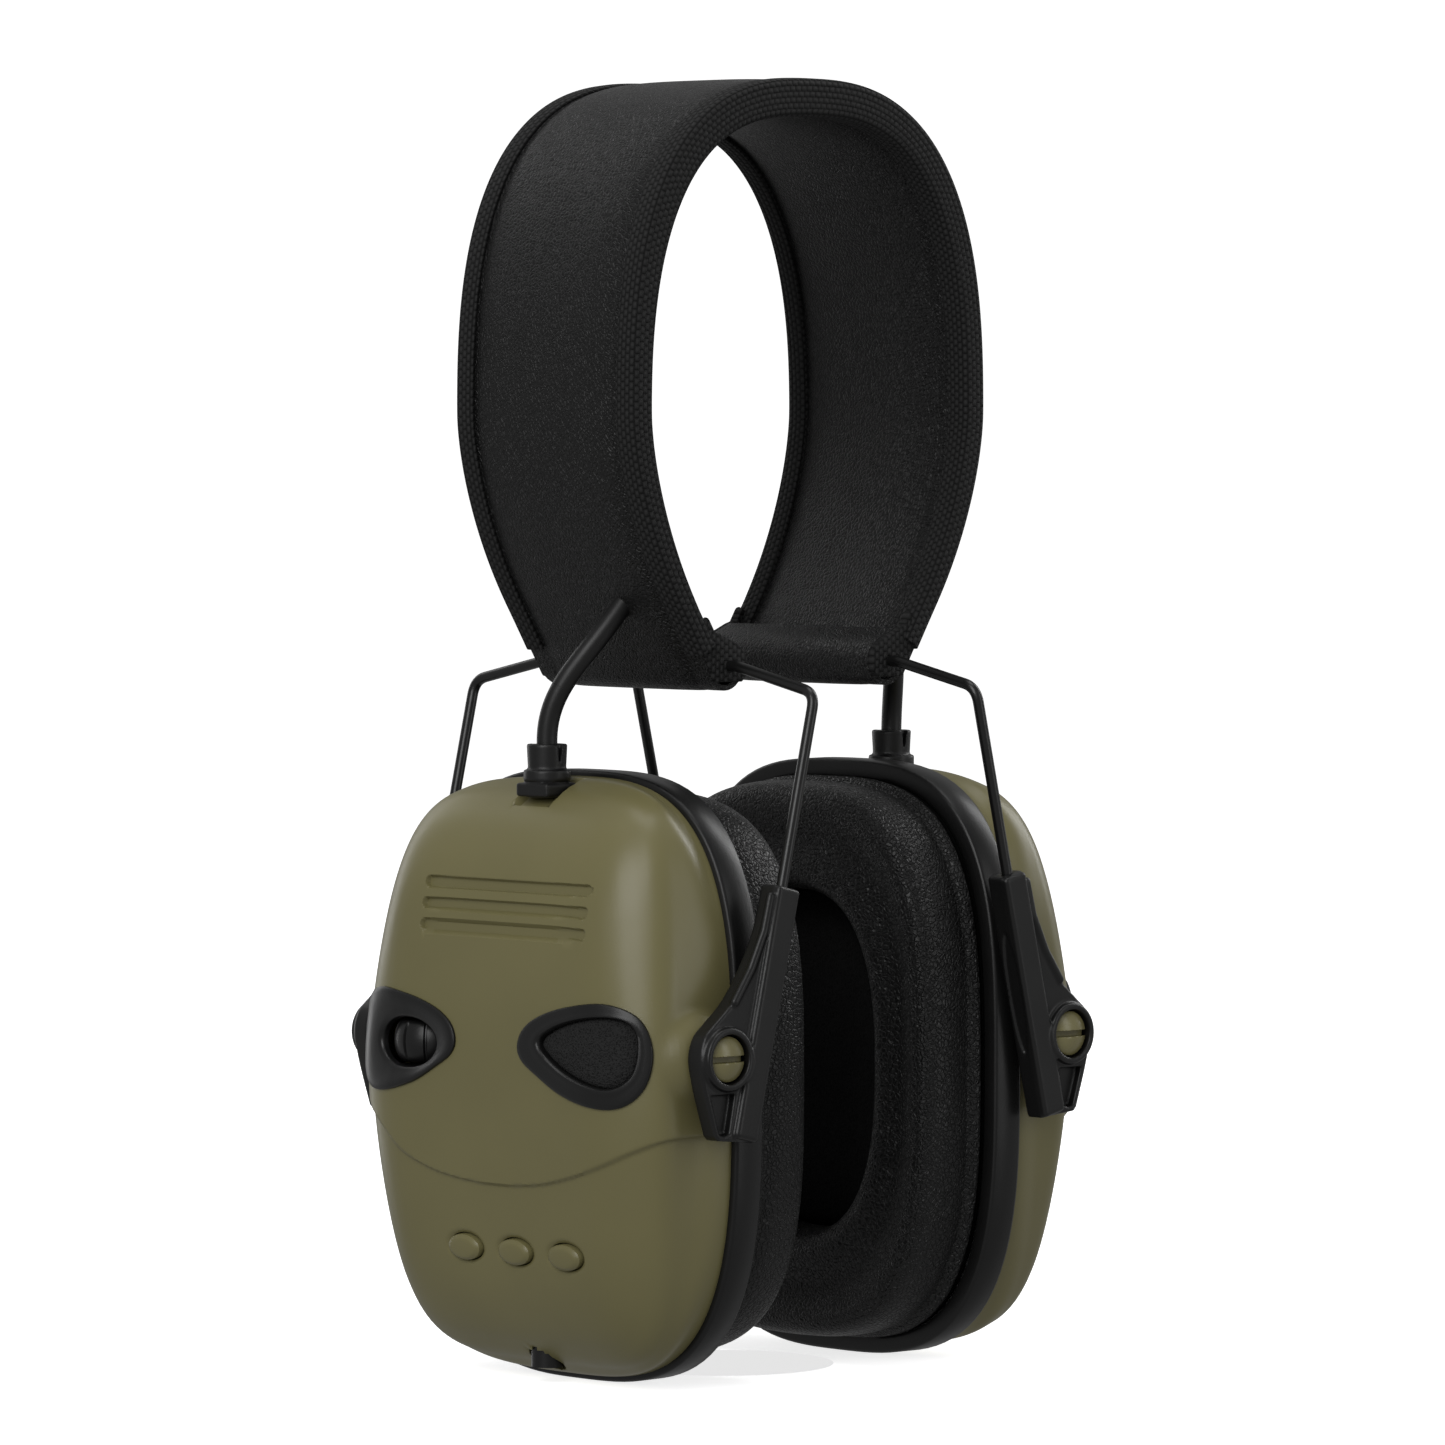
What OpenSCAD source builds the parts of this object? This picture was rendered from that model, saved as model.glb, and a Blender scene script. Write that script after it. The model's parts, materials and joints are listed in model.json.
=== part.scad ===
// Folding electronic earmuff: two cups on spring-wire frames under a padded leather headband.
// +Z is up, the wearer faces -Y, the wearer's right cup is on the -X side.
// The origin is where the headband rests on the crown of the head.

/* [Headband] */
// Half-width of the arch, outer face, at its widest
arch_half = 43.0; // [42.6:0.1:43.6]
// Width of the leather band from edge to edge
band_w = 46.6; // [44:0.2:48]
// Thickness of the leather cover
cover_t = 1.0; // [0.8:0.1:1.1]
// Width of the spring steel strip
strip_w = 12; // [10:1:12]

/* [Wire frame] */
// Radius of the spring wire
wire_r = 0.98; // [0.94:0.01:1]
// Distance between the two legs of a wire frame
leg_span = 88.6; // [88:0.2:89.2]
// Length of the leg from its top bend to its free end
leg_len = 62; // [58:1:63]

/* [Cup] */
// Height of the black rim of a cup
rim_h = 108; // [107:0.5:109]
// Width of the black rim of a cup
rim_w = 81.6; // [80.6:0.2:82]
// Wall thickness of the moulded shell
wall = 2.0; // [1.8:0.1:2.2]
// Depth of the ear cushion in front of the rim
cushion_d = 15.4; // [14:0.2:15.8]
// Half-width of the ear opening
ear_half_w = 23; // [22.6:0.1:23.6]
// Half-height of the ear opening
ear_half_h = 31; // [30.6:0.1:32]

/* [Controls] */
// Radius of the volume thumbwheel
wheel_r = 6.9; // [6.4:0.1:7]
// Distance between neighbouring buttons
button_pitch = 13; // [12:0.5:13.5]
// Bore radius of the audio socket
jack_r = 1.8; // [1.78:0.01:1.82]

/* [Hidden] */
$fn = 48;

// Arch of the band: a superellipse above arch_z and another below it.
arch_z = 117;
arch_top = 58.7;
arch_low = 58.8;
arch_top_e = 2.6;
arch_low_e = 1.65;
band_t_side = 4.0;
band_t_top = 5.6;
// Depth of the pad's face at the middle of the band, as a share of the band's thickness.
pad_k = 1.15;
band_half = band_w / 2;
arch_steps = 56;
// All parts are drawn about a point midway between the two cups, then hung below the crown.
crown_z = arch_z + arch_top - pad_k * band_t_top;

// The wire's crossbar turns in the rolled ends of the strip.
bar_x = 19.8;
bar_z = 72.6;
run_fit = 0.07;
bend_swell = 0.04;
sleeve_r = 4.6;

// Leg of the wire frame and the sliding yoke on it, in the X-Z plane.
leg_y = leg_span / 2;
bend = [19.9, 68.4];
leg_dir = [0.2316, -0.9728];
leg_tilt = 13.39;
yoke_top = 34.5;
yoke_end = 79;
yoke_in = 41.7;
yoke_out = 46.6;
pivot = [42.3, 5.8];
screw_r = 2.0;
head_r = 4.0;
head_seat = 44.6;

// Stations outward from the head, along X.
rim_x0 = 28.7;
rim_x1 = 35.2;
baffle_x = 33.2;
board_x = 41.6;
board_t = 1.4;
rim_e = 3.1;
// Rings of the shell's outer face: place along X, half-width, half-height, how square it is, and
// how much narrower it gets towards its top and bottom.
shell_rings = [[35.2, 39.4, 53, 3.1, 0], [38, 39.3, 52.7, 3.5, 0.02], [41.2, 39.2, 51.6, 4.2, 0.08],
    [45.1, 39.2, 49.2, 5.2, 0.15], [48, 39.1, 46.5, 6, 0.19], [50.6, 38.4, 43.3, 6.4, 0.2],
    [53.1, 36, 39.1, 6.6, 0.2], [54.9, 33.1, 30, 6.6, 0.2], [56.1, 30.7, 20, 5, 0.1],
    [56.8, 28.2, 9.5, 4, 0], [57, 24, 2, 3, 0]];
face_x = 57;
face_crown = 5.9;
post_y = 25;
post_z = 39;
board_half = 21.5;
standoff_y = 18;
screw_inset = 3;

// Places on the cup's outer face, as Y and Z.
// The eye-shaped openings: middle, and corners of the outline from the pointed inner end, going up.
eye_centre = [23, 6];
eye_corners = [[8.4, 6.8], [9.8, 9.8], [14, 12.3], [21, 14.2], [29, 15], [34.6, 12.9], [36.9, 7.5],
    [36.3, 1.3], [33, -2.3], [27.5, -2.9], [19.5, -1], [12.8, 2.3], [9.5, 4.4]];
wheel_at = [49.4, 22.6, 5.8];
window_y = 22;
window = [8.2, 4.3];
wheel_h = 7.4;
bezel_t = 2.0;
button_y = -4.3;
button_z = -29.9;
slot_y = -2.1;
slot_len = 42.7;
slot_z = [34.4, 30.6, 26.8];
boot_x = 42.6;
boot_z = 58.8;
lead_r = 1.85;
core_r = 0.9;
lead_y = -8;

// Battery compartment of the left cup.
cell_r = 5.25;
cell_h = 44.5;
cell_x = 47.8;
cell_z = [-24.7, -13.5];
cell_gap = 0.15;
box_x = 51.6;
box_y = 24.9;
box_low = -31;
box_high = -7.2;
door_y = 25.2;
door_top = -6.7;
door_axis = [53.1, -31.4];
knuckle_r = 1.1;

leather = [0.05, 0.05, 0.05];
black = [0.09, 0.09, 0.1];
olive = [0.42, 0.4, 0.28];
steel = [0.6, 0.6, 0.62];
green = [0.1, 0.35, 0.2];
foam = [0.13, 0.13, 0.13];

function spow(v, p) = sign(v) * pow(abs(v), p);
function superellipse(w, h, e, count = 44) = [for (i = [0:count - 1])
    let (a = 360 * i / count) [w * spow(cos(a), 2 / e), h * spow(sin(a), 2 / e)]];
function oval(w, h, count = 28) = [for (i = [0:count - 1])
    [w * cos(360 * i / count), h * sin(360 * i / count)]];

// Smooth closed curve through the eye's corners, drawn about its middle.
function spline(p, t) = let (n = len(p), i = floor(t), f = t - i,
    a = p[(i + n - 1) % n], b = p[i % n], c = p[(i + 1) % n], d = p[(i + 2) % n])
    0.5 * (2 * b + (c - a) * f + (2 * a - 5 * b + 4 * c - d) * f * f + (3 * b - a - 3 * c + d) * f * f * f);
function eye(scale_by, steps = 4) = [for (i = [0:steps * len(eye_corners) - 1])
    scale_by * (spline(eye_corners, i / steps) - eye_centre)];

// Point of the arch at depth k, where 0 is the outer face and 1 is the inner face.
function arch_point(k, a) = let (
    half = arch_half - k * band_t_side,
    rise = arch_top - k * band_t_top,
    drop = arch_low - k * 1.2,
    e = a < 0 || a > 180 ? arch_low_e : arch_top_e,
    b = a < 0 || a > 180 ? drop : rise)
    [half * spow(cos(a), 2 / e), arch_z + b * spow(sin(a), 2 / e)];
function arch_angle(z) = -asin(pow((arch_z - z) / arch_low, arch_low_e / 2));
function arch_line(k, z) = let (a = arch_angle(z)) [for (i = [0:arch_steps])
    arch_point(k, a + (180 - 2 * a) * i / arch_steps)];
function reversed(list) = [for (i = [len(list) - 1:-1:0]) list[i]];
function layer(k0, k1, z) = concat(arch_line(k0, z), reversed(arch_line(k1, z)));

// Height of the face over a place on its middle line.
function face_at(z) = face_x - face_crown * pow(z / 50, 2);

function leg_at(d) = [bend[0] + leg_dir[0] * d, bend[1] + leg_dir[1] * d];

// Cubic curve through four control points, for the leads.
function bezier(p, t) = pow(1 - t, 3) * p[0] + 3 * t * pow(1 - t, 2) * p[1]
    + 3 * t * t * (1 - t) * p[2] + pow(t, 3) * p[3];
lead_route = [[42.6, 0, 58.95], [42.8, 0, 69.4], [38.8, -6.4, 73.7], [31, -8, 84.3]];
lead_rings = 9;
lead_path = [for (i = [0:lead_rings]) bezier(lead_route, i / lead_rings)];
lead_end = lead_route[3];
lead_dir = lead_route[3] - lead_route[2];
core_z = 84;
core_path = [for (p = arch_line(0.55, core_z)) [p[0], lead_y, p[1]]];

function unit(v) = v / norm(v);
function heading(path, i) = unit(path[min(i + 1, len(path) - 1)] - path[max(i - 1, 0)]);
function ring(path, i, r, sides) = let (t = heading(path, i), n = unit(cross([0, 1, 0], t)),
    b = cross(t, n)) [for (j = [0:sides - 1])
    path[i] + r * (cos(360 * j / sides) * n + sin(360 * j / sides) * b)];

// Round tube along a path, one ring of points at each path point.
module sweep(path, r, sides = 8) {
    last = len(path) - 1;
    points = [for (i = [0:last]) each ring(path, i, r, sides)];
    walls = [for (i = [0:last - 1], j = [0:sides - 1]) let (k = (j + 1) % sides)
        [i * sides + j, (i + 1) * sides + j, (i + 1) * sides + k, i * sides + k]];
    caps = [[for (j = [0:sides - 1]) j], [for (j = [sides - 1:-1:0]) last * sides + j]];
    polyhedron(points, concat(walls, caps), convexity = 4);
}

module hung() translate([0, 0, -crown_z]) children();
module left_side() hung() children();
module right_side() hung() mirror([1, 0, 0]) children();
module along_x(x0, x1) translate([x0, 0, 0]) rotate([90, 0, 90]) linear_extrude(x1 - x0) children();
module along_y(y0, y1) translate([0, y1, 0]) rotate([90, 0, 0]) linear_extrude(y1 - y0) children();
module disc_x(x0, x1, r, y = 0, z = 0) translate([x0, y, z]) rotate([0, 90, 0]) cylinder(h = x1 - x0, r = r);
module disc_y(y0, y1, r, x, z) translate([x, y0, z]) rotate([-90, 0, 0]) cylinder(h = y1 - y0, r = r);
module block(low, high) translate(low) cube(high - low);
module rod(a, b, r) {
    d = b - a;
    translate(a) rotate([0, acos(d[2] / norm(d)), atan2(d[1], d[0])]) cylinder(h = norm(d), r = r);
}

// ---- Headband ----

// Slanted hole where each lead goes into the band.
module lead_holes() for (side = [0, 1]) mirror([side, 0, 0])
    rod(lead_end - 0.9 * lead_dir, lead_end + 0.25 * lead_dir, lead_r + 0.15);

module headband_cover() color(leather) hung() difference() {
    union() {
        along_y(-band_half + 0.8, band_half - 0.8) polygon(layer(0, cover_t / band_t_side, bar_z + 1));
        for (x = [-bar_x, bar_x]) difference() {
            disc_y(-band_half + 0.8, band_half - 0.8, sleeve_r, x, bar_z);
            disc_y(-band_half, band_half, sleeve_r - cover_t, x, bar_z);
        }
    }
    lead_holes();
    for (side = [-1, 1]) block([side * bar_x - 4, -strip_w / 2 - 0.2, bar_z - 0.5],
        [side * bar_x + 4, strip_w / 2 + 0.2, bar_z + 8]);
}

module headband_pad() color(leather) hung() difference() {
    union() {
        along_y(-band_half + 1, band_half - 1) polygon(layer(0.47, 0.96, bar_z + 8));
        along_y(-band_half + 6, band_half - 6) polygon(layer(0.9, pad_k, bar_z + 8));
    }
    lead_holes();
}

module binding(y0, y1, edge0, edge1) {
    skin = 0.14;
    along_y(y0, y1) polygon(layer(-skin, -0.01, bar_z + 7));
    along_y(y0, y1) polygon(layer(0.98, 1 + skin, bar_z + 7));
    along_y(edge0, edge1) polygon(layer(-skin, 1 + skin, bar_z + 7));
}
module front_binding() color(leather) hung()
    binding(-band_half, -band_half + 5, -band_half, -band_half + 0.7);
module rear_binding() color(leather) hung()
    binding(band_half - 5, band_half, band_half - 0.7, band_half);

// Steel strip with an eye rolled at each end for the crossbar of a wire frame.
strip_k = [0.27, 0.42];
strip_low = bar_z + 5;
module spring_strip() color(steel) hung() difference() {
    a = arch_angle(strip_low);
    union() {
        along_y(-strip_w / 2, strip_w / 2) polygon(layer(strip_k[0], strip_k[1], strip_low));
        for (x = [-bar_x, bar_x]) disc_y(-strip_w / 2, strip_w / 2, 2.3, x, bar_z);
        for (side = [0, 1]) mirror([side, 0, 0]) along_y(-strip_w / 2, strip_w / 2)
            polygon([arch_point(strip_k[0], a), arch_point(strip_k[1], a),
                [bar_x + 1.2, bar_z + 1.9], [bar_x + 1.9, bar_z + 1.1]]);
    }
    for (x = [-bar_x, bar_x]) disc_y(-band_half, band_half, wire_r + run_fit, x, bar_z);
}

module band_cable() color(black) hung() sweep(core_path, core_r);

// ---- Wire frames and yokes, drawn for the left side ----

module wire_frame() {
    foot = leg_at(leg_len);
    for (s = [-1, 1]) {
        corner = [bend[0], s * leg_y, bend[1]];
        knee = [bar_x, s * (band_half + 1.2), bar_z];
        rod([foot[0], s * leg_y, foot[1]], corner, wire_r);
        rod(corner, knee, wire_r);
        translate(corner) sphere(r = wire_r + bend_swell);
        translate(knee) sphere(r = wire_r + bend_swell);
    }
    disc_y(-band_half - 1.2, band_half + 1.2, wire_r, bar_x, bar_z);
}
module right_wire_frame() color(black) right_side() wire_frame();
module left_wire_frame() color(black) left_side() wire_frame();

// Front yoke: square tube on the wire, web and boss for the pivot screw, open V below the boss.
module yoke_outline() {
    top = leg_at(yoke_top);
    end = leg_at(yoke_end);
    side = [0.9728, 0.2316];
    polygon([top - 2.7 * side, top + 2.7 * side, leg_at(50) + 3.6 * side, [43.4, 12.1], [47.2, 10],
        [48.7, 6], [46.2, end[1] + 1.6], [45.2, end[1] + 0.7], end - 2.7 * side]);
    translate(pivot) circle(r = 6.4);
}
module yoke() difference() {
    union() {
        along_y(yoke_in + 0.5, yoke_out - 0.8) yoke_outline();
        translate([bend[0], leg_y, bend[1]]) rotate([0, 180 - leg_tilt, 0])
            translate([-2.7, -2.6, yoke_top]) cube([5.4, 5.2, yoke_end - yoke_top]);
        disc_y(yoke_in, yoke_out + 0.3, 6.2, pivot[0], pivot[1]);
    }
    disc_y(yoke_in - 1, yoke_out + 1, screw_r + run_fit, pivot[0], pivot[1]);
    disc_y(head_seat - 0.1, yoke_out + 1, head_r + 0.3, pivot[0], pivot[1]);
    translate([bend[0], leg_y, bend[1]]) rotate([0, 180 - leg_tilt, 0])
        cylinder(h = yoke_end - 2.5, r = wire_r + run_fit);
    along_y(yoke_out - 2.4, yoke_out + 1) polygon([[40, -1.4], [45.2, -1.4], [43.8, -6.4], [40.6, -6.4]]);
}
module right_front_yoke() color(black) right_side() mirror([0, 1, 0]) yoke();
module right_rear_yoke() color(black) right_side() yoke();
module left_front_yoke() color(black) left_side() mirror([0, 1, 0]) yoke();
module left_rear_yoke() color(black) left_side() yoke();

// Domed slotted screw: threaded end in the shell, plain shank in the yoke.
module pivot_screw() difference() {
    union() {
        disc_y(34.5, 41.5, 1.6, pivot[0], pivot[1]);
        disc_y(41.4, head_seat + 0.1, screw_r, pivot[0], pivot[1]);
        translate([pivot[0], head_seat, pivot[1]]) rotate([-90, 0, 0]) intersection() {
            cylinder(h = 3, r = head_r);
            translate([0, 0, -4.4]) sphere(r = 7);
        }
    }
    block([pivot[0] - 5, head_seat + 1.3, pivot[1] - 0.45], [pivot[0] + 5, head_seat + 4, pivot[1] + 0.45]);
}
module pivot_screws() for (s = [0, 1]) mirror([0, s, 0]) pivot_screw();
module right_pivot_screws() color(olive) right_side() pivot_screws();
module left_pivot_screws() color(olive) left_side() pivot_screws();

// ---- Cups, drawn for the left side ----

function shell_outline(r, shrink) = [for (p = superellipse(r[1], r[2], r[3], 56)) [
    p[0] * (1 - r[4] * (norm([p[1] / 50, 0.2]) - 0.2)) * (1 - shrink / r[1]), p[1] * (1 - shrink / r[2])]];
module shell_solid(shrink) hull() for (r = shell_rings) if (r[2] > shrink + 0.5)
    along_x(r[0] - shrink, r[0] - shrink + 0.02) polygon(shell_outline(r, shrink));

module posts(y, z_low, z_high, r, x0) for (sy = [-1, 1], z = [z_low, z_high]) disc_x(x0, 60, r, sy * y, z);

// Open moulded shell with its screw posts, pivot bosses, slots and the openings given as children.
module shell(board_low, board_high) difference() {
    union() {
        difference() {
            shell_solid(0);
            shell_solid(wall);
            block([30, -60, -60], [rim_x1 + 0.05, 60, 60]);
        }
        intersection() {
            shell_solid(0.6);
            union() {
                posts(post_y, -post_z, post_z, 3.2, rim_x1 + 0.1);
                posts(standoff_y, board_low + screw_inset, board_high - screw_inset, 2.4,
                    board_x + board_t + 0.05);
            }
        }
        for (s = [0, 1]) mirror([0, s, 0]) disc_y(36, 41.3, 5.2, pivot[0], pivot[1]);
    }
    for (s = [0, 1]) mirror([0, s, 0]) disc_y(33, 43, 1.65, pivot[0], pivot[1]);
    for (sy = [-1, 1], sz = [-1, 1]) disc_x(30, 47, 1.35, sy * post_y, sz * post_z);
    for (sy = [-1, 1], z = [board_low + screw_inset, board_high - screw_inset])
        disc_x(40, 49, 1.05, sy * standoff_y, z);
    for (z = slot_z) along_x(face_at(z) - 0.8, 60) hull() for (sy = [-1, 1])
        translate([slot_y + sy * (slot_len / 2 - 0.9), z]) circle(r = 0.9);
    translate([boot_x, 0, 45]) cylinder(h = 15, r = 3.05);
    children();
}

right_board_low = -38.6;
right_board_high = 26;
left_board_low = 8;
left_board_high = 35;

module eye_prism(front, scale_by, x0, x1) along_x(x0, x1)
    translate([front ? -eye_centre[0] : eye_centre[0], eye_centre[1]]) mirror([front ? 1 : 0, 0])
    polygon(eye(scale_by));

module right_shell() color(olive) right_side() shell(right_board_low, right_board_high) {
    eye_prism(true, 1, 45, 60);
    eye_prism(false, 1, 45, 60);
    for (i = [-1:1]) along_x(50, 60) translate([button_y + i * button_pitch, button_z])
        polygon(oval(4.4, 2.6));
    translate([boot_x, 0, -60]) cylinder(h = 17, r = 3.25);
}
module left_shell() color(olive) left_side() shell(left_board_low, left_board_high) {
    eye_prism(true, 1, 45, 60);
    block([49, -door_y - 0.2, door_axis[1] - 2.2], [60, door_y + 0.2, door_top + 0.2]);
    disc_y(-door_y - 1.6, door_y + 1.6, 0.8, door_axis[0], door_axis[1]);
}

module rim() difference() {
    along_x(rim_x0, rim_x1) polygon(superellipse(rim_w / 2, rim_h / 2, rim_e));
    along_x(rim_x0 - 1, baffle_x) polygon(superellipse(rim_w / 2 - 3.2, rim_h / 2 - 3.2, rim_e));
    disc_x(rim_x0, rim_x1 + 1, 20.4);
    for (sy = [-1, 1], sz = [-1, 1]) disc_x(30, 40, 1.5, sy * post_y, sz * post_z);
}
module right_rim() color(black) right_side() rim();
module left_rim() color(black) left_side() rim();

// Ear cushion: closed ring with a stepped, drawn-in front.
module cushion() difference() {
    x1 = rim_x0 - 0.1;
    union() {
        along_x(x1 - cushion_d + 5, x1) polygon(superellipse(38.4, 51.2, rim_e));
        along_x(x1 - cushion_d + 2, x1 - cushion_d + 5) polygon(superellipse(36.6, 49.4, 3));
        along_x(x1 - cushion_d, x1 - cushion_d + 2) polygon(superellipse(32.6, 45.4, 2.8));
    }
    along_x(x1 - cushion_d - 1, x1 + 1) polygon(superellipse(ear_half_w, ear_half_h, 2.6));
}
module right_cushion() color(leather) right_side() cushion();
module left_cushion() color(leather) left_side() cushion();

module cushion_plate() difference() {
    along_x(rim_x0 + 0.3, rim_x0 + 2.3) polygon(superellipse(rim_w / 2 - 3.6, rim_h / 2 - 3.6, rim_e));
    along_x(rim_x0, rim_x0 + 3) polygon(superellipse(ear_half_w + 2, ear_half_h + 2, 2.6));
}
module right_cushion_plate() color(black) right_side() cushion_plate();
module left_cushion_plate() color(black) left_side() cushion_plate();

module foam_liner() along_x(25.6, 30.9) polygon(superellipse(ear_half_w - 0.6, ear_half_h - 0.6, 2.6));
module right_foam_liner() color(foam) right_side() foam_liner();
module left_foam_liner() color(foam) left_side() foam_liner();

module speaker() {
    disc_x(31.3, 33.1, 22);
    disc_x(33.1, 36, 20);
    disc_x(36, 41, 11);
}
module right_speaker() color(steel) right_side() speaker();
module left_speaker() color(steel) left_side() speaker();

module shell_screws() for (sy = [-1, 1], sz = [-1, 1]) {
    disc_x(31.4, 33.1, 2.5, sy * post_y, sz * post_z);
    disc_x(33.1, 44, 1.3, sy * post_y, sz * post_z);
}
module right_shell_screws() color(steel) right_side() shell_screws();
module left_shell_screws() color(steel) left_side() shell_screws();

module board(low, high) difference() {
    block([board_x, -board_half, low], [board_x + board_t, board_half, high]);
    for (sy = [-1, 1], z = [low + screw_inset, high - screw_inset])
        disc_x(board_x - 1, board_x + 3, 1.15, sy * standoff_y, z);
}
module board_screws(low, high) for (sy = [-1, 1], z = [low + screw_inset, high - screw_inset]) {
    disc_x(board_x - 1.3, board_x - 0.05, 1.9, sy * standoff_y, z);
    disc_x(board_x - 0.05, board_x + 6, 1, sy * standoff_y, z);
}
// The right board has a notch that the volume wheel turns in.
module right_main_board() color(green) right_side() difference() {
    board(right_board_low, right_board_high);
    block([board_x - 1, wheel_at[1] - 8, wheel_at[2] - 4.3], [board_x + 3, 30, wheel_at[2] + 4.3]);
}
module right_board_screws() color(steel) right_side() board_screws(right_board_low, right_board_high);
module left_amp_board() color(green) left_side() board(left_board_low, left_board_high);
module left_board_screws() color(steel) left_side() board_screws(left_board_low, left_board_high);

// ---- Volume control ----

module volume_wheel() color(black) right_side() translate(wheel_at) difference() {
    rotate_extrude() polygon([[0, -wheel_h / 2], [wheel_r - 1.5, -wheel_h / 2], [wheel_r, -1.6],
        [wheel_r, 1.6], [wheel_r - 1.5, wheel_h / 2], [0, wheel_h / 2]]);
    translate([0, 0, -wheel_h]) cylinder(h = 2 * wheel_h, r = 1.55);
    for (i = [0:17]) rotate([0, 0, 20 * i]) translate([wheel_r + 0.25, 0, -wheel_h])
        cylinder(h = 2 * wheel_h, r = 0.6, $fn = 16);
}
module volume_pot() color(black) right_side() {
    block([45, wheel_at[1] - 4.5, -3], [53, wheel_at[1] + 4.5, 1.4]);
    translate([wheel_at[0], wheel_at[1], 1.3]) cylinder(h = 8.6, r = 1.5);
}

// Bezels fill the eye-shaped openings and stand a little proud of the shell.
module bezel(front) difference() {
    intersection() {
        shell_solid(-0.5);
        eye_prism(front, 0.985, 45, 60);
    }
    shell_solid(bezel_t);
    block([40, -50, -30], [46, 50, 30]);
    children();
}
module volume_bezel() color(black) right_side() bezel(false)
    along_x(40, 60) translate([window_y, wheel_at[2]]) polygon(oval(window[0], window[1]));
module right_mic_bezel() color(black) right_side() bezel(true) eye_prism(true, 0.7, 40, 60);
module left_mic_bezel() color(black) left_side() bezel(true) eye_prism(true, 0.7, 40, 60);

module mic_foam() intersection() {
    shell_solid(0.9);
    eye_prism(true, 0.68, 51.2, 57);
}
module right_mic_foam() color(foam) right_side() mic_foam();
module left_mic_foam() color(foam) left_side() mic_foam();
module mic_capsule() disc_x(45.6, 51, 3, -eye_centre[0], eye_centre[1]);
module right_mic_capsule() color(steel) right_side() mic_capsule();
module left_mic_capsule() color(steel) left_side() mic_capsule();

// ---- Buttons ----

module button(i) translate([0, button_y + i * button_pitch, button_z]) {
    along_x(51.3, 55.9) polygon(oval(4.2, 2.4));
    along_x(50.6, 51.3) polygon(oval(4.9, 2.9));
}
module rear_button() color(olive) right_side() button(1);
module middle_button() color(olive) right_side() button(0);
module front_button() color(olive) right_side() button(-1);
module button_switches() color(steel) right_side() for (i = [-1:1])
    translate([0, button_y + i * button_pitch, button_z]) {
        block([48.45, -2.2, -2.2], [49.2, 2.2, 2.2]);
        disc_x(49.2, 49.7, 1.2);
    }
module switch_board() color(green) right_side() block([47.2, button_y - 18.5, button_z - 2.6],
    [48.45, button_y + 18.5, button_z + 2.6]);

module audio_socket() color(black) right_side() difference() {
    union() {
        block([boot_x - 3.4, -3.4, -43.8], [boot_x + 2.6, 3.4, -38.8]);
        translate([boot_x, 0, -51.2]) cylinder(h = 7.6, r = 2.9);
    }
    translate([boot_x, 0, -55]) cylinder(h = 15.4, r = jack_r);
}

// ---- Battery compartment ----

module battery_door() color(olive) left_side() {
    difference() {
        intersection() {
            shell_solid(0);
            block([49, -door_y, door_axis[1]], [60, door_y, door_top]);
        }
        shell_solid(wall);
    }
    disc_y(-door_y, door_y, knuckle_r, door_axis[0], door_axis[1]);
    disc_y(-door_y - 1.2, door_y + 1.2, 0.74, door_axis[0], door_axis[1]);
}
module battery_box() color(black) left_side() difference() {
    pocket = cell_h / 2 + 1.3;
    block([board_x, -box_y, box_low], [box_x, box_y, box_high]);
    for (z = cell_z) {
        disc_y(-pocket, pocket, cell_r + cell_gap, cell_x, z);
        block([cell_x, -pocket, z - cell_r - cell_gap], [60, pocket, z + cell_r + cell_gap]);
    }
}
module battery_cells() color(steel) left_side() for (i = [0, 1]) mirror([0, i, 0]) {
    disc_y(-cell_h / 2, cell_h / 2 - 1, cell_r, cell_x, cell_z[i]);
    disc_y(cell_h / 2 - 1, cell_h / 2, 1.9, cell_x, cell_z[i]);
}
module battery_contacts() color(steel) left_side() for (z = cell_z, s = [0, 1]) mirror([0, s, 0])
    disc_y(cell_h / 2 + 0.05, cell_h / 2 + 1.2, 4.2, cell_x, z);

// ---- Leads ----

module cable_boot() {
    translate([boot_x, 0, 48]) cylinder(h = 4.7, r = 3);
    translate([boot_x, 0, 52.6]) cylinder(h = 2, r = 4);
    translate([boot_x, 0, 54.5]) cylinder(h = boot_z - 54.5, r = 3.4);
}
module right_cable_boot() color(black) right_side() cable_boot();
module left_cable_boot() color(black) left_side() cable_boot();
module right_lead() color(black) right_side() sweep(lead_path, lead_r);
module left_lead() color(black) left_side() sweep(lead_path, lead_r);

headband_cover();
headband_pad();
front_binding();
rear_binding();
spring_strip();
band_cable();
right_wire_frame();
left_wire_frame();
right_front_yoke();
right_rear_yoke();
left_front_yoke();
left_rear_yoke();
right_pivot_screws();
left_pivot_screws();
right_shell();
left_shell();
right_rim();
left_rim();
right_cushion();
left_cushion();
right_cushion_plate();
left_cushion_plate();
right_foam_liner();
left_foam_liner();
right_speaker();
left_speaker();
right_shell_screws();
left_shell_screws();
right_main_board();
right_board_screws();
left_amp_board();
left_board_screws();
volume_wheel();
volume_pot();
volume_bezel();
right_mic_bezel();
left_mic_bezel();
right_mic_foam();
left_mic_foam();
right_mic_capsule();
left_mic_capsule();
rear_button();
middle_button();
front_button();
button_switches();
switch_board();
audio_socket();
battery_door();
battery_box();
battery_cells();
battery_contacts();
right_cable_boot();
left_cable_boot();
right_lead();
left_lead();
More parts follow.
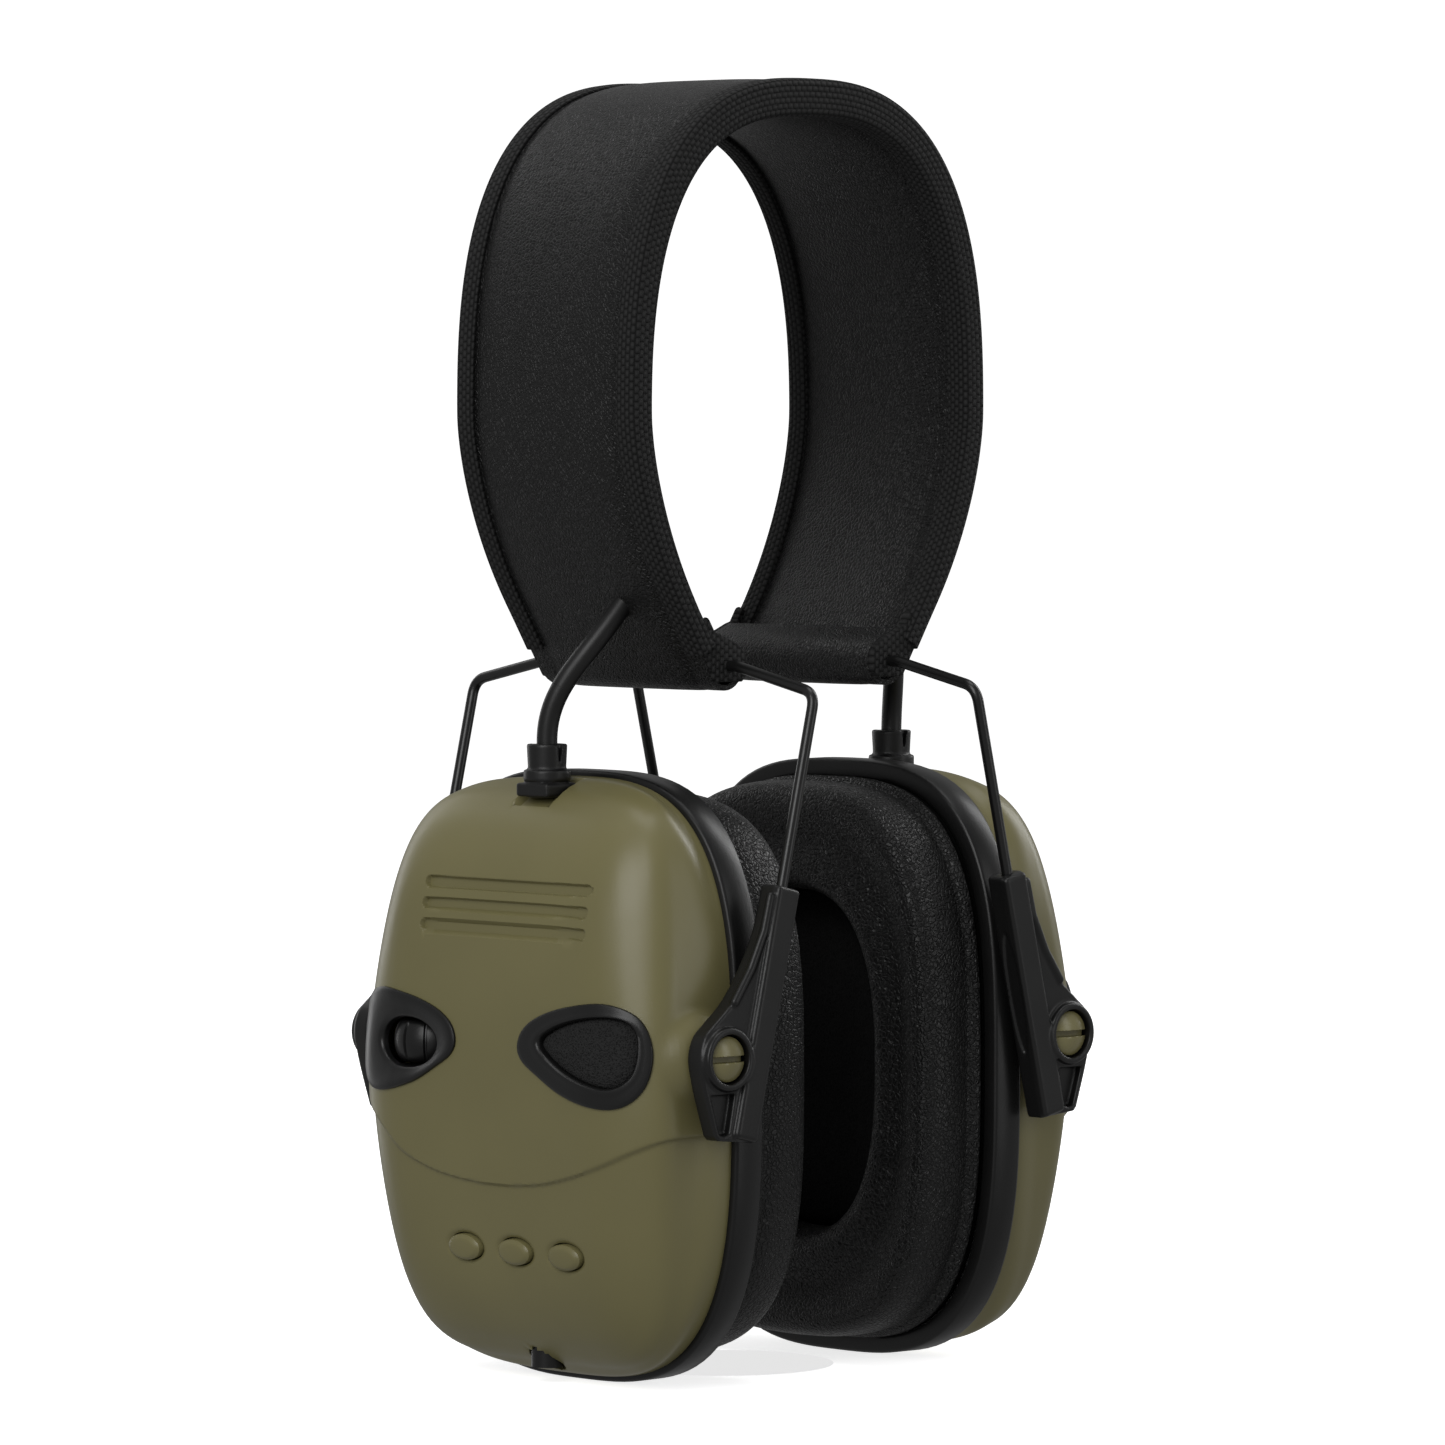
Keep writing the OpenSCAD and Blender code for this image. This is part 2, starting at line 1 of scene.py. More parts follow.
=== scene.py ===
# Looks of a folding electronic earmuff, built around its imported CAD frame.
# Shapes are worked out in millimetres about a point midway between the cups, with x outward from the
# head, and place() puts them on the left (+X) or right (-X) side of the frame, in metres.
import json
import math

import bmesh
import bpy
import numpy as np
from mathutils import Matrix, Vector


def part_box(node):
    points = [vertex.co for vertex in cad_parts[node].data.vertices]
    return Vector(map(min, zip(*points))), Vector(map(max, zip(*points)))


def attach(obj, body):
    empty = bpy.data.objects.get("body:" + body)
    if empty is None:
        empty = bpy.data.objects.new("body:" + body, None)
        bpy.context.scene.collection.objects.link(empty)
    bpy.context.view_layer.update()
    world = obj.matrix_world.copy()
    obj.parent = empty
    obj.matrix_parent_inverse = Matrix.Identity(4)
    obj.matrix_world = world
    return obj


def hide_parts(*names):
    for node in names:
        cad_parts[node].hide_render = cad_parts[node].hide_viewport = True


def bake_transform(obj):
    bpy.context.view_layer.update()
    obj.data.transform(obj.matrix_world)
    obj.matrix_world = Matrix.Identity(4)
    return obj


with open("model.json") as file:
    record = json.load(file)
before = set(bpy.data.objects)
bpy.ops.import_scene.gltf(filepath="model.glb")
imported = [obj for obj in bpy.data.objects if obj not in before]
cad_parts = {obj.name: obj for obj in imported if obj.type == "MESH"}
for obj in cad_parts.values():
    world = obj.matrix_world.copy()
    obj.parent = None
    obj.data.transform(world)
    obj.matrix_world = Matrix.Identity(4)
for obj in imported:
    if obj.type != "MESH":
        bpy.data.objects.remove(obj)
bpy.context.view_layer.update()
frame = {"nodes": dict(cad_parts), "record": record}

MM = 0.001
LEFT = 1
RIGHT = -1
SIDES = {LEFT: "left", RIGHT: "right"}
TINY = 1e-12
SHARP_ANGLE = 38
rim_low, rim_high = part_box("left_rim")
CUP_Z = (rim_low[2] + rim_high[2]) / 2
FLOOR_Z = rim_low[2]


def place(points, side=LEFT):
    """Millimetres about the cups' middle, x outward, to metres in the frame."""
    points = np.asarray(points, float) * MM
    return points * [side, 1, 1] + [0, 0, CUP_Z]


# ---- Camera, light and stage ----

CAMERA_AT = [-1046.8, -1103.1, 124.1]
CAMERA_AIM = [0, 0, 61.4]
CAMERA_LENS = 211.2


def make_camera():
    camera = bpy.data.objects.new("camera", bpy.data.cameras.new("camera"))
    bpy.context.scene.collection.objects.link(camera)
    camera.location = place(CAMERA_AT)
    aim = Vector(place(CAMERA_AIM)) - camera.location
    camera.rotation_euler = aim.to_track_quat("-Z", "Y").to_euler()
    camera.data.sensor_width = 36
    camera.data.lens = CAMERA_LENS
    camera.data.clip_start = 0.01
    bpy.context.scene.camera = camera


def area_light(name, at, aim, size, power):
    light = bpy.data.lights.new(name, "AREA")
    light.shape = "RECTANGLE"
    light.size, light.size_y = size
    light.energy = power
    lamp = bpy.data.objects.new(name, light)
    bpy.context.scene.collection.objects.link(lamp)
    lamp.location = at
    lamp.rotation_euler = (Vector(aim) - Vector(at)).to_track_quat("-Z", "Y").to_euler()


def make_lights():
    middle = (0, 0, -0.1)
    area_light("key", (-1.5, -0.6, 0.7), middle, (1.0, 1.4), 17)
    area_light("fill", (0.6, -1.5, 0.2), middle, (0.5, 1.2), 3)
    area_light("left_strip", (0.15, 1.6, 0.25), middle, (0.4, 1.4), 3)
    area_light("back_right", (1.4, -0.1, 0.6), middle, (0.4, 1.2), 7)
    area_light("top", (0, 0.1, 1.3), middle, (0.9, 0.9), 6)
    world = bpy.data.worlds.new("studio")
    world.use_nodes = True
    world.node_tree.nodes["Background"].inputs["Color"].default_value = (1, 1, 1, 1)
    world.node_tree.nodes["Background"].inputs["Strength"].default_value = 0.3
    bpy.context.scene.world = world
    bpy.context.scene.view_settings.view_transform = "Standard"


# ---- Mesh building ----


def unit(vectors):
    """Vectors, or rows of vectors, at length 1."""
    return vectors / (np.linalg.norm(vectors, axis=-1)[..., None] + TINY)


def full_turn(count):
    """Even angles round a circle."""
    return np.arange(count) * 2 * math.pi / count


def smooth_shading(mesh, sharp=SHARP_ANGLE):
    """Smooth shading, but for edges that bend by more than that many degrees."""
    mesh.shade_smooth()
    mesh.set_sharp_from_angle(angle=math.radians(sharp))


def add_piece(name, points, faces, slot, side=LEFT, uv=None, closed=True, sharp=SHARP_ANGLE):
    """A mesh object from points in millimetres, with the look and slot of that name."""
    mesh = bpy.data.meshes.new(name)
    mesh.from_pydata(place(points, side).tolist(), [], [tuple(int(i) for i in f) for f in faces])
    if uv is not None:
        layer = mesh.uv_layers.new(name="UVMap")
        corner = np.zeros(len(mesh.loops), int)
        mesh.loops.foreach_get("vertex_index", corner)
        layer.data.foreach_set("uv", np.asarray(uv, float)[corner].ravel())
    if closed:
        work = bmesh.new()
        work.from_mesh(mesh)
        bmesh.ops.recalc_face_normals(work, faces=work.faces)
        work.to_mesh(mesh)
        work.free()
    elif side == RIGHT:
        mesh.flip_normals()
    smooth_shading(mesh, sharp)
    mesh.materials.append(LOOK[slot])
    piece = bpy.data.objects.new(name, mesh)
    bpy.context.scene.collection.objects.link(piece)
    return piece


def finish_piece(piece, body, *nodes):
    """The piece rides a body and stands for its CAD nodes."""
    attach(piece, body)
    if nodes:
        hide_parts(*nodes)


def apply_modifiers(piece):
    """The piece's mesh with its modifiers worked in."""
    view = bpy.context.evaluated_depsgraph_get()
    mesh = bpy.data.meshes.new_from_object(piece.evaluated_get(view))
    piece.modifiers.clear()
    old = piece.data
    piece.data = mesh
    bpy.data.meshes.remove(old)
    mesh.name = piece.name
    smooth_shading(mesh)


def thicken(piece, wall):
    """Gives an open sheet a wall of that many millimetres, inwards from its face."""
    thick = piece.modifiers.new("wall", "SOLIDIFY")
    thick.thickness = wall * MM
    thick.offset = -1
    apply_modifiers(piece)


def subdivide(piece):
    smooth = piece.modifiers.new("smooth", "SUBSURF")
    smooth.levels = smooth.render_levels = 1
    apply_modifiers(piece)


def lofted(rings, around=False, caps=True):
    """Points and faces through rings of equal size. around joins the last ring to the first."""
    rings = [np.asarray(r, float) for r in rings]
    n = len(rings[0])
    count = len(rings)
    faces = []
    for i in range(count if around else count - 1):
        a, b = i * n, (i + 1) % count * n
        faces += [(a + j, a + (j + 1) % n, b + (j + 1) % n, b + j) for j in range(n)]
    if caps and not around:
        faces.append(tuple(range(n)))
        faces.append(tuple((count - 1) * n + j for j in reversed(range(n))))
    return np.vstack(rings), faces


def joined(*parts):
    """Several (points, faces) pairs as one."""
    points, faces, start = [], [], 0
    for p, f in parts:
        points.append(np.asarray(p, float))
        faces += [tuple(i + start for i in face) for face in f]
        start += len(p)
    return np.vstack(points), faces


def smooth_step(low, high, value):
    t = np.clip((np.asarray(value, float) - low) / (high - low), 0, 1)
    return t * t * (3 - 2 * t)


def resampled(path, count, closed=False):
    """The path again with evenly spaced points."""
    path = np.asarray(path, float)
    if closed:
        path = np.vstack([path, path[:1]])
    run = np.concatenate([[0], np.cumsum(np.linalg.norm(np.diff(path, axis=0), axis=1))])
    at = np.linspace(0, run[-1], count + 1)[:-1] if closed else np.linspace(0, run[-1], count)
    return np.stack([np.interp(at, run, path[:, k]) for k in range(path.shape[1])], 1)


def spline(corners, steps, closed=True):
    """Smooth curve through given corners."""
    corners = np.asarray(corners, float)
    n = len(corners)
    t = np.arange(steps) / steps
    out = []
    for i in range(n if closed else n - 1):
        pick = [(i + k) % n if closed else min(max(i + k, 0), n - 1) for k in (-1, 0, 1, 2)]
        a, b, c, d = (corners[k] for k in pick)
        for f in t:
            out.append(0.5 * (2 * b + (c - a) * f + (2 * a - 5 * b + 4 * c - d) * f**2
                              + (3 * b - a - 3 * c + d) * f**3))
    if not closed:
        out.append(corners[-1])
    return np.array(out)


def superellipse(half_w, half_h, exponent, count=144):
    """Evenly spaced outline in the y-z plane."""
    a = np.arange(4 * count) * 2 * math.pi / (4 * count)
    y = half_w * np.sign(np.cos(a)) * np.abs(np.cos(a)) ** (2 / exponent)
    z = half_h * np.sign(np.sin(a)) * np.abs(np.sin(a)) ** (2 / exponent)
    return resampled(np.stack([y, z], 1), count, closed=True)


def in_x(outline, x):
    """A y-z outline as 3-D points at height x."""
    return np.column_stack([np.full(len(outline), x), outline])


def swept(path, radius, sides=20):
    """Round tube along a 3-D path with flat ends."""
    heading = unit(np.gradient(path, axis=0))
    normal = np.cross(heading[0], [0.3, 0.2, 1.0])
    turn = full_turn(sides)
    rings = []
    for p, t in zip(path, heading):
        normal = unit(normal - t * normal.dot(t))
        round_it = np.outer(np.cos(turn), normal) + np.outer(np.sin(turn), np.cross(t, normal))
        rings.append(p + radius * round_it)
    return lofted(rings)


def turned(profile, centre, count=48):
    """Closed solid of revolution along y. profile holds (y, radius) pairs from end to end."""
    turn = full_turn(count)
    rings = [np.stack([r * np.sin(turn), np.full(count, y), r * np.cos(turn)], 1) for y, r in profile]
    return lofted([ring + centre for ring in rings])


def oval(centre, half, count):
    """Ellipse in the y-z plane."""
    turn = full_turn(count)
    return np.stack([centre[0] + half[0] * np.cos(turn), centre[1] + half[1] * np.sin(turn)], 1)


# ---- Solids from distance fields, for moulded parts with rounded edges ----


def soft_union(a, b, k):
    h = np.clip(0.5 + 0.5 * (b - a) / k, 0, 1)
    return b + (a - b) * h - k * h * (1 - h)


def soft_cut(a, b, k):
    return -soft_union(-a, b, k)


def polygon_field(p, corners):
    """Signed distance in the plane to a polygon, where p has the plane's coordinates last."""
    corners = np.asarray(corners, float)
    best = np.full(p.shape[:-1], np.inf)
    inside = np.zeros(p.shape[:-1], bool)
    for a, b in zip(corners, np.roll(corners, -1, axis=0)):
        edge = b - a
        w = p - a
        t = np.clip((w @ edge) / (edge @ edge), 0, 1)
        best = np.minimum(best, ((w - t[..., None] * edge) ** 2).sum(-1))
        crosses = (a[1] > p[..., 1]) != (b[1] > p[..., 1])
        with np.errstate(divide="ignore", invalid="ignore"):
            reach = edge[0] * (p[..., 1] - a[1]) / (edge[1] or 1e-12) + a[0]
        inside ^= crosses & (p[..., 0] < reach)
    return np.where(inside, -1, 1) * np.sqrt(best)


def slab(flat, along, low, high, edge):
    """Field of a flat shape between two heights, with its edges rounded."""
    across = np.abs(along - (low + high) / 2) - (high - low) / 2
    a, b = flat + edge, across + edge
    return np.minimum(np.maximum(a, b), 0) + np.hypot(np.maximum(a, 0), np.maximum(b, 0)) - edge


def box_field(p, half, edge):
    q = np.abs(p) - (np.asarray(half) - edge)
    return np.minimum(q.max(-1), 0) + np.linalg.norm(np.maximum(q, 0), axis=-1) - edge


def field_solid(field, low, high, step):
    """Closed mesh of the surface where the field is zero."""
    axes = [np.arange(a - 2 * step, b + 2.5 * step, step) for a, b in zip(low, high)]
    value = field(np.stack(np.meshgrid(*axes, indexing="ij"), -1))
    inside = value < 0
    cells = [len(a) - 1 for a in axes]

    def corner(data, i, j, k):
        return data[i:i + cells[0], j:j + cells[1], k:k + cells[2]]

    total = np.zeros(cells + [3])
    hits = np.zeros(cells)
    for axis in range(3):
        for u in (0, 1):
            for v in (0, 1):
                start = np.insert([u, v], axis, 0)
                stop = np.insert([u, v], axis, 1)
                va, vb = corner(value, *start), corner(value, *stop)
                cross = (va < 0) != (vb < 0)
                t = np.where(cross, va / np.where(cross, va - vb, 1), 0)
                point = np.broadcast_to(start.astype(float), cells + [3]).copy()
                point[..., axis] += t
                total += np.where(cross[..., None], point, 0)
                hits += cross
    active = hits > 0
    index = np.full(cells, -1)
    index[active] = np.arange(active.sum())
    base = np.argwhere(active)
    points = (base + total[active] / hits[active][:, None]) * step + [a[0] for a in axes]
    for _ in range(2):
        slope = np.stack([(field(points + d) - field(points - d)) / 0.02 for d in np.eye(3) * 0.01], -1)
        push = field(points)[:, None] * slope / np.maximum((slope**2).sum(-1), 0.2)[:, None]
        points -= np.clip(push, -step / 2, step / 2)
    faces = []
    for axis in range(3):
        u, v = [k for k in range(3) if k != axis]
        lead = [slice(1, -1)] * 3
        tail = [slice(1, -1)] * 3
        lead[axis], tail[axis] = slice(0, -1), slice(1, None)
        change = inside[tuple(lead)] != inside[tuple(tail)]
        at = np.argwhere(change)
        at[:, u] += 1
        at[:, v] += 1
        ring = []
        for du, dv in ((1, 1), (0, 1), (0, 0), (1, 0)):
            cell = at.copy()
            cell[:, u] -= du
            cell[:, v] -= dv
            ring.append(index[tuple(cell.T)])
        faces += [tuple(q) for q in np.stack(ring, 1)]
    return points, faces


# ---- Materials ----


def make_material(name, colour, roughness, specular=0.5, metallic=0.0):
    material = bpy.data.materials.new(name)
    material.use_nodes = True
    shader = material.node_tree.nodes["Principled BSDF"]
    shader.inputs["Base Color"].default_value = (*colour, 1)
    shader.inputs["Roughness"].default_value = roughness
    shader.inputs["Specular IOR Level"].default_value = specular
    shader.inputs["Metallic"].default_value = metallic
    return material


def node(material, kind, inputs=(), **settings):
    """A shader node with its settings, and each input set to a value or linked from a socket."""
    made = material.node_tree.nodes.new("ShaderNode" + kind)
    for key, value in settings.items():
        setattr(made, key, value)
    for key, value in dict(inputs).items():
        if isinstance(value, bpy.types.NodeSocket):
            material.node_tree.links.new(value, made.inputs[key])
        else:
            made.inputs[key].default_value = value
    return made


def coordinates(material, kind="Object"):
    return node(material, "TexCoord").outputs[kind]


def maths(material, operation, a, b=0.0):
    return node(material, "Math", {0: a, 1: b}, operation=operation).outputs[0]


def noise(material, vector, scale, detail=3.0, roughness=0.5):
    return node(material, "TexNoise", {"Vector": vector, "Scale": scale, "Detail": detail,
                                       "Roughness": roughness}).outputs["Fac"]


def ramp(material, value, low, high, dark, light):
    """Colours or greys from dark to light as the value goes from low to high."""
    made = node(material, "ValToRGB", {"Fac": value})
    made.color_ramp.elements[0].position = low
    made.color_ramp.elements[1].position = high
    made.color_ramp.elements[0].color = (*dark, 1)
    made.color_ramp.elements[1].color = (*light, 1)
    return made.outputs["Color"]


def surface(material, colour=None, roughness=None, height=None, depth=0.1):
    """Links colour, roughness and a bump of that depth in millimetres to the shader."""
    tree = material.node_tree
    shader = tree.nodes["Principled BSDF"]
    if colour is not None:
        tree.links.new(colour, shader.inputs["Base Color"])
    if roughness is not None:
        tree.links.new(roughness, shader.inputs["Roughness"])
    if height is not None:
        bump = node(material, "Bump", {"Height": height, "Distance": depth * MM})
        tree.links.new(bump.outputs["Normal"], shader.inputs["Normal"])
    return material


def grey(value):
    return (value, value, value)


def leather(name, tone, cell, depth, roughness):
    """Pebbled black leather: warped cells with creases between them, and fine pores. Its colour has painted
    shade in the creases and random tone from a broad noise.
    """
    m = make_material(name, grey(tone), roughness, specular=0.34)
    at = coordinates(m)
    warp = node(m, "TexNoise", {"Vector": at, "Scale": 520.0, "Detail": 2.0}).outputs["Color"]
    shift = node(m, "VectorMath", {0: warp, 1: (0.5, 0.5, 0.5)}, operation="SUBTRACT").outputs[0]
    shift = node(m, "VectorMath", {0: shift, "Scale": 0.0009}, operation="SCALE").outputs[0]
    moved = node(m, "VectorMath", {0: at, 1: shift}, operation="ADD").outputs[0]
    cells = node(m, "TexVoronoi", {"Vector": moved, "Scale": 1000 / cell},
                 feature="DISTANCE_TO_EDGE").outputs["Distance"]
    crease = node(m, "MapRange", {"Value": cells, "From Min": 0.0, "From Max": 0.22},
                  interpolation_type="SMOOTHSTEP").outputs[0]
    pores = noise(m, at, 4200.0, 2.0)
    broad = noise(m, at, 60.0, 2.0)
    height = maths(m, "ADD", crease, maths(m, "MULTIPLY", pores, 0.25))
    height = maths(m, "ADD", height, maths(m, "MULTIPLY", broad, 0.8))
    # Colour: painted shade darkens the creases between cells; the broad noise adds random tone.
    shade = ramp(m, maths(m, "MULTIPLY", crease, broad), 0.1, 0.6, grey(tone * 0.6), grey(tone * 1.25))
    rough = maths(m, "ADD", maths(m, "MULTIPLY", crease, -0.1), roughness + 0.06)
    return surface(m, shade, rough, height, depth)


def woven(name, tone, pitch):
    """Woven tape whose yarns, a pitch apart in millimetres, follow the piece's UV map. Its colour has painted
    shade between the yarns and a painted highlight on their tops.
    """
    m = make_material(name, grey(tone), 0.8, specular=0.25)
    uv = node(m, "SeparateXYZ", {0: coordinates(m, "UV")}).outputs
    along = maths(m, "MULTIPLY", uv[0], 1000 / pitch)
    across = maths(m, "MULTIPLY", uv[1], 1000 / (pitch * 0.72))
    row = maths(m, "MULTIPLY", maths(m, "FLOOR", across), 0.5)
    warp = maths(m, "PINGPONG", maths(m, "ADD", along, row), 0.5)
    weft = maths(m, "PINGPONG", across, 0.5)
    knot = maths(m, "MULTIPLY", maths(m, "SINE", maths(m, "MULTIPLY", warp, math.pi)),
                 maths(m, "SINE", maths(m, "MULTIPLY", weft, math.pi)))
    fibre = noise(m, coordinates(m), 3500.0, 3.0, 0.7)
    height = maths(m, "ADD", maths(m, "POWER", knot, 0.7), maths(m, "MULTIPLY", fibre, 0.25))
    # Colour from the weave's height: painted shade in the gaps between yarns, painted highlight on the yarn
    # tops.
    shade = ramp(m, height, 0.2, 1.0, grey(tone * 0.2), grey(tone * 1.6))
    return surface(m, shade, None, height, 0.4)


def moulded(name, colour, roughness, specular=0.5, grain=0.012, variation=0.06):
    """Moulded plastic: a fine spark-eroded grain, slight colour drift and rubbed patches."""
    m = make_material(name, colour, roughness, specular)
    at = coordinates(m)
    fine = noise(m, at, 2600.0, 2.0, 0.6)
    drift = noise(m, at, 28.0, 3.0)
    low = tuple(c * (1 - variation) for c in colour)
    high = tuple(c * (1 + variation) for c in colour)
    shade = ramp(m, drift, 0.3, 0.7, low, high)
    rough = ramp(m, noise(m, at, 90.0, 4.0), 0.3, 0.7, grey(roughness - 0.035), grey(roughness + 0.035))
    return surface(m, shade, rough, fine, grain)


def porous(name, tone, cell, depth):
    """Open foam: painted shade in its open cells, with lighter walls between them."""
    m = make_material(name, grey(tone), 0.95, specular=0.12)
    at = coordinates(m)
    cells = node(m, "TexVoronoi", {"Vector": at, "Scale": 1000 / cell}, feature="F1").outputs["Distance"]
    fluff = noise(m, at, 1700.0, 4.0, 0.7)
    height = maths(m, "ADD", cells, fluff)
    # Colour: painted shade in the cells' hollows, lighter on the walls between them.
    shade = ramp(m, height, 0.5, 1.25, grey(tone * 0.35), grey(tone * 1.9))
    return surface(m, shade, None, height, depth)


def metal(name, colour, roughness):
    m = make_material(name, colour, roughness, metallic=1.0)
    at = coordinates(m)
    rough = ramp(m, noise(m, at, 350.0, 4.0), 0.3, 0.75, grey(roughness * 0.8), grey(roughness * 1.3))
    return surface(m, None, rough, noise(m, at, 1500.0, 3.0), 0.01)


OLIVE = (0.162, 0.146, 0.063)
LEATHER_TONE = 0.005
LEATHER_GRAIN = 0.75
LOOK = {
    "cover_leather": leather("cover_leather", LEATHER_TONE, LEATHER_GRAIN, 0.13, 0.42),
    "pad_leather": leather("pad_leather", LEATHER_TONE, LEATHER_GRAIN, 0.13, 0.42),
    "cushion_leather": leather("cushion_leather", LEATHER_TONE, 0.85, 0.2, 0.40),
    "binding_tape": woven("binding_tape", 0.013, 1.4),
    "shell_olive": moulded("shell_olive", OLIVE, 0.36, 0.45),
    "button_olive": moulded("button_olive", OLIVE, 0.34, 0.45),
    "screw_olive": moulded("screw_olive", tuple(c * 1.1 for c in OLIVE), 0.26, 0.6),
    "rim_black": moulded("rim_black", grey(0.005), 0.36, 0.35),
    "yoke_black": moulded("yoke_black", grey(0.006), 0.36, 0.4),
    "control_black": moulded("control_black", grey(0.006), 0.34, 0.4),
    "wire_black": moulded("wire_black", grey(0.005), 0.3, 0.5),
    "cable_rubber": moulded("cable_rubber", grey(0.006), 0.42, 0.4),
    "mic_foam": porous("mic_foam", 0.014, 0.34, 0.25),
    "liner_foam": porous("liner_foam", 0.006, 0.4, 0.15),
    "spring_steel": metal("spring_steel", grey(0.45), 0.35),
    "speaker_metal": metal("speaker_metal", grey(0.35), 0.4),
    "screw_zinc": metal("screw_zinc", (0.6, 0.6, 0.57), 0.3),
    "cell_metal": metal("cell_metal", (0.5, 0.5, 0.52), 0.28),
    "pcb_green": moulded("pcb_green", (0.01, 0.07, 0.025), 0.3),
}


def dress_cad_nodes():
    """Every CAD node takes the look of its slot in the record."""
    for part in frame["record"]["subparts"]:
        mesh = frame["nodes"][part["node"]].data
        mesh.materials.clear()
        mesh.materials.append(LOOK[part["material_slot"]])


# ---- Cup shells ----

# The shell's outer face at each level from its middle (0) to its rim (1): x, half-width, half-height.
SHELL = np.array([
    [0, 57, 0, 0], [0.365, 57, 21.9, 31], [0.417, 56.86, 25, 34.9], [0.465, 56.43, 27.9, 38.3],
    [0.51, 55.73, 30.6, 41.2], [0.55, 54.78, 33.1, 43.8], [0.587, 53.6, 35.1, 46], [0.62, 52.25, 36.8, 47.7],
    [0.655, 50.75, 38.1, 49.2], [0.69, 49.15, 38.8, 50.2], [0.72, 47.5, 39.1, 50.9], [0.85, 41.2, 39.2, 52.5],
    [1, 35.2, 39.4, 53]])
RIM_E = 3.1
WALL = 2.0
FACE_X = 44
PIVOT = (42.3, 5.8)
BOSS_Y = 41.3
BOOT_X = 42.6


def monotone(table, column):
    """Smooth curve through a table's column that doesn't overshoot."""
    x, y = table[:, 0], table[:, column]
    h = np.diff(x)
    d = np.diff(y) / h
    both, total = d[:-1] * d[1:], d[:-1] + d[1:]
    m = np.concatenate([[d[0]], np.where(both > 0, 2 * both / (total + TINY), 0), [d[-1]]])

    def at(value):
        value = np.clip(value, x[0], x[-1])
        i = np.clip(np.searchsorted(x, value, side="right") - 1, 0, len(h) - 1)
        t = (value - x[i]) / h[i]
        a = (1 + 2 * t) * (1 - t) ** 2 * y[i] + t**2 * (3 - 2 * t) * y[i + 1]
        return a + h[i] * (t * (1 - t) ** 2 * m[i] - t**2 * (1 - t) * m[i + 1])
    return at


shell_x, shell_w, shell_h = (monotone(SHELL, c) for c in (1, 2, 3))


def ring_exponent(level):
    """How square the shell's ring is at a level: squarer on the face than at the rim."""
    return 6.6 - 3.5 * smooth_step(0.55, 1, level)


def ring_taper(level, z):
    """The ring's width at height z as a share of its width in the middle."""
    share = 0.2 * smooth_step(0.36, 0.58, level) * (1 - smooth_step(0.6, 1, level))
    return 1 - share * (np.hypot(z / 50, 0.2) - 0.2)


def shell_drop(level, z):
    """How far the face curves back towards its top and bottom."""
    return 5.9 * (1 - smooth_step(0.6, 1, level)) * (z / 50) ** 2


def shell_height(y, z):
    """Place along x of the shell's outer face over (y, z)."""
    low, high = np.zeros(np.shape(y)), np.ones(np.shape(y))
    for _ in range(18):
        mid = (low + high) / 2
        w, h, e = shell_w(mid) * ring_taper(mid, z) + 1e-6, shell_h(mid) + 1e-6, ring_exponent(mid)
        out = (np.abs(y) / w) ** e + (np.abs(z) / h) ** e > 1
        low, high = np.where(out, mid, low), np.where(out, high, mid)
    level = (low + high) / 2
    return shell_x(level) - shell_drop(level, z)


def on_shell(y, z, lift=0.0):
    """Points on the shell's outer face over (y, z), lifted along its normal."""
    y, z = np.asarray(y, float), np.asarray(z, float)
    x = shell_height(y, z)
    step = 0.25
    slope_y = (shell_height(y + step, z) - shell_height(y - step, z)) / (2 * step)
    slope_z = (shell_height(y, z + step) - shell_height(y, z - step)) / (2 * step)
    normal = unit(np.stack([np.ones_like(y), -slope_y, -slope_z], -1))
    return np.stack([x, y, z], -1) + normal * np.asarray(lift, float)[..., None]


# Curved step across the face: the part above it stands proud of the part below.
STEP = np.array([[-45, -6], [-41, -7.2], [-34, -10.5], [-28, -13.2], [-21, -15.5], [-13, -17.3], [-5, -18],
                 [2.5, -18], [10.5, -17.3], [17, -16], [23.5, -13.6], [29, -9.9], [37, -5.5], [45, -4]])
STEP_DROP = 0.75
# Three slots across the face: middle y, half length, half width, depth and heights.
SLOT_Y = -2.1
SLOT_HALF = 21.35
SLOT_R = 0.95
SLOT_DEPTH = 0.9
SLOT_Z = (34.4, 30.6, 26.8)
BUTTON_Y = (8.7, -4.3, -17.3)
BUTTON_Z = -29.9
BUTTON_HALF = (4.4, 2.55)
BUTTON_GAP = 0.15
# Battery door: its opening's half width, bottom and top, the panel's bottom, its barrel's x, z and radius.
DOOR = (25.4, -33.6, -6.5)
DOOR_LOW = -31.3
DOOR_PIN = (53.1, -31.4, 1.1)
SOCKET_R = 3.25
UNDERSIDE_Z = -45
# Outline of an eye with its window for the microphone, drawn for the rear eye as (y, z).
EYE = [[8.4, 6.8], [9.8, 9.8], [14, 12.3], [21, 14.2], [29, 15], [34.6, 12.9], [36.9, 7.5], [36.3, 1.3],
       [33, -2.3], [27.5, -2.9], [19.5, -1], [12.8, 2.3], [9.5, 4.4]]
MIC_WINDOW = [[14, 7.3], [17.5, 10.2], [24.6, 12.2], [31, 12.6], [34.2, 11], [35.0, 7], [34.2, 2.9],
              [31.4, 0.8], [27, 0.8], [19.5, 3.3]]
step_line = spline(STEP, 8, closed=False)


def oval_distance(y, z, centre, half):
    """Rough distance outside an oval, in millimetres."""
    u, v = (y - centre[0]) / half[0], (z - centre[1]) / half[1]
    squash = u**2 * (half[1] / half[0])**2 + v**2 + 1e-9
    return (np.hypot(u, v) - 1) * half[1] * np.sqrt((u**2 + v**2) / squash)


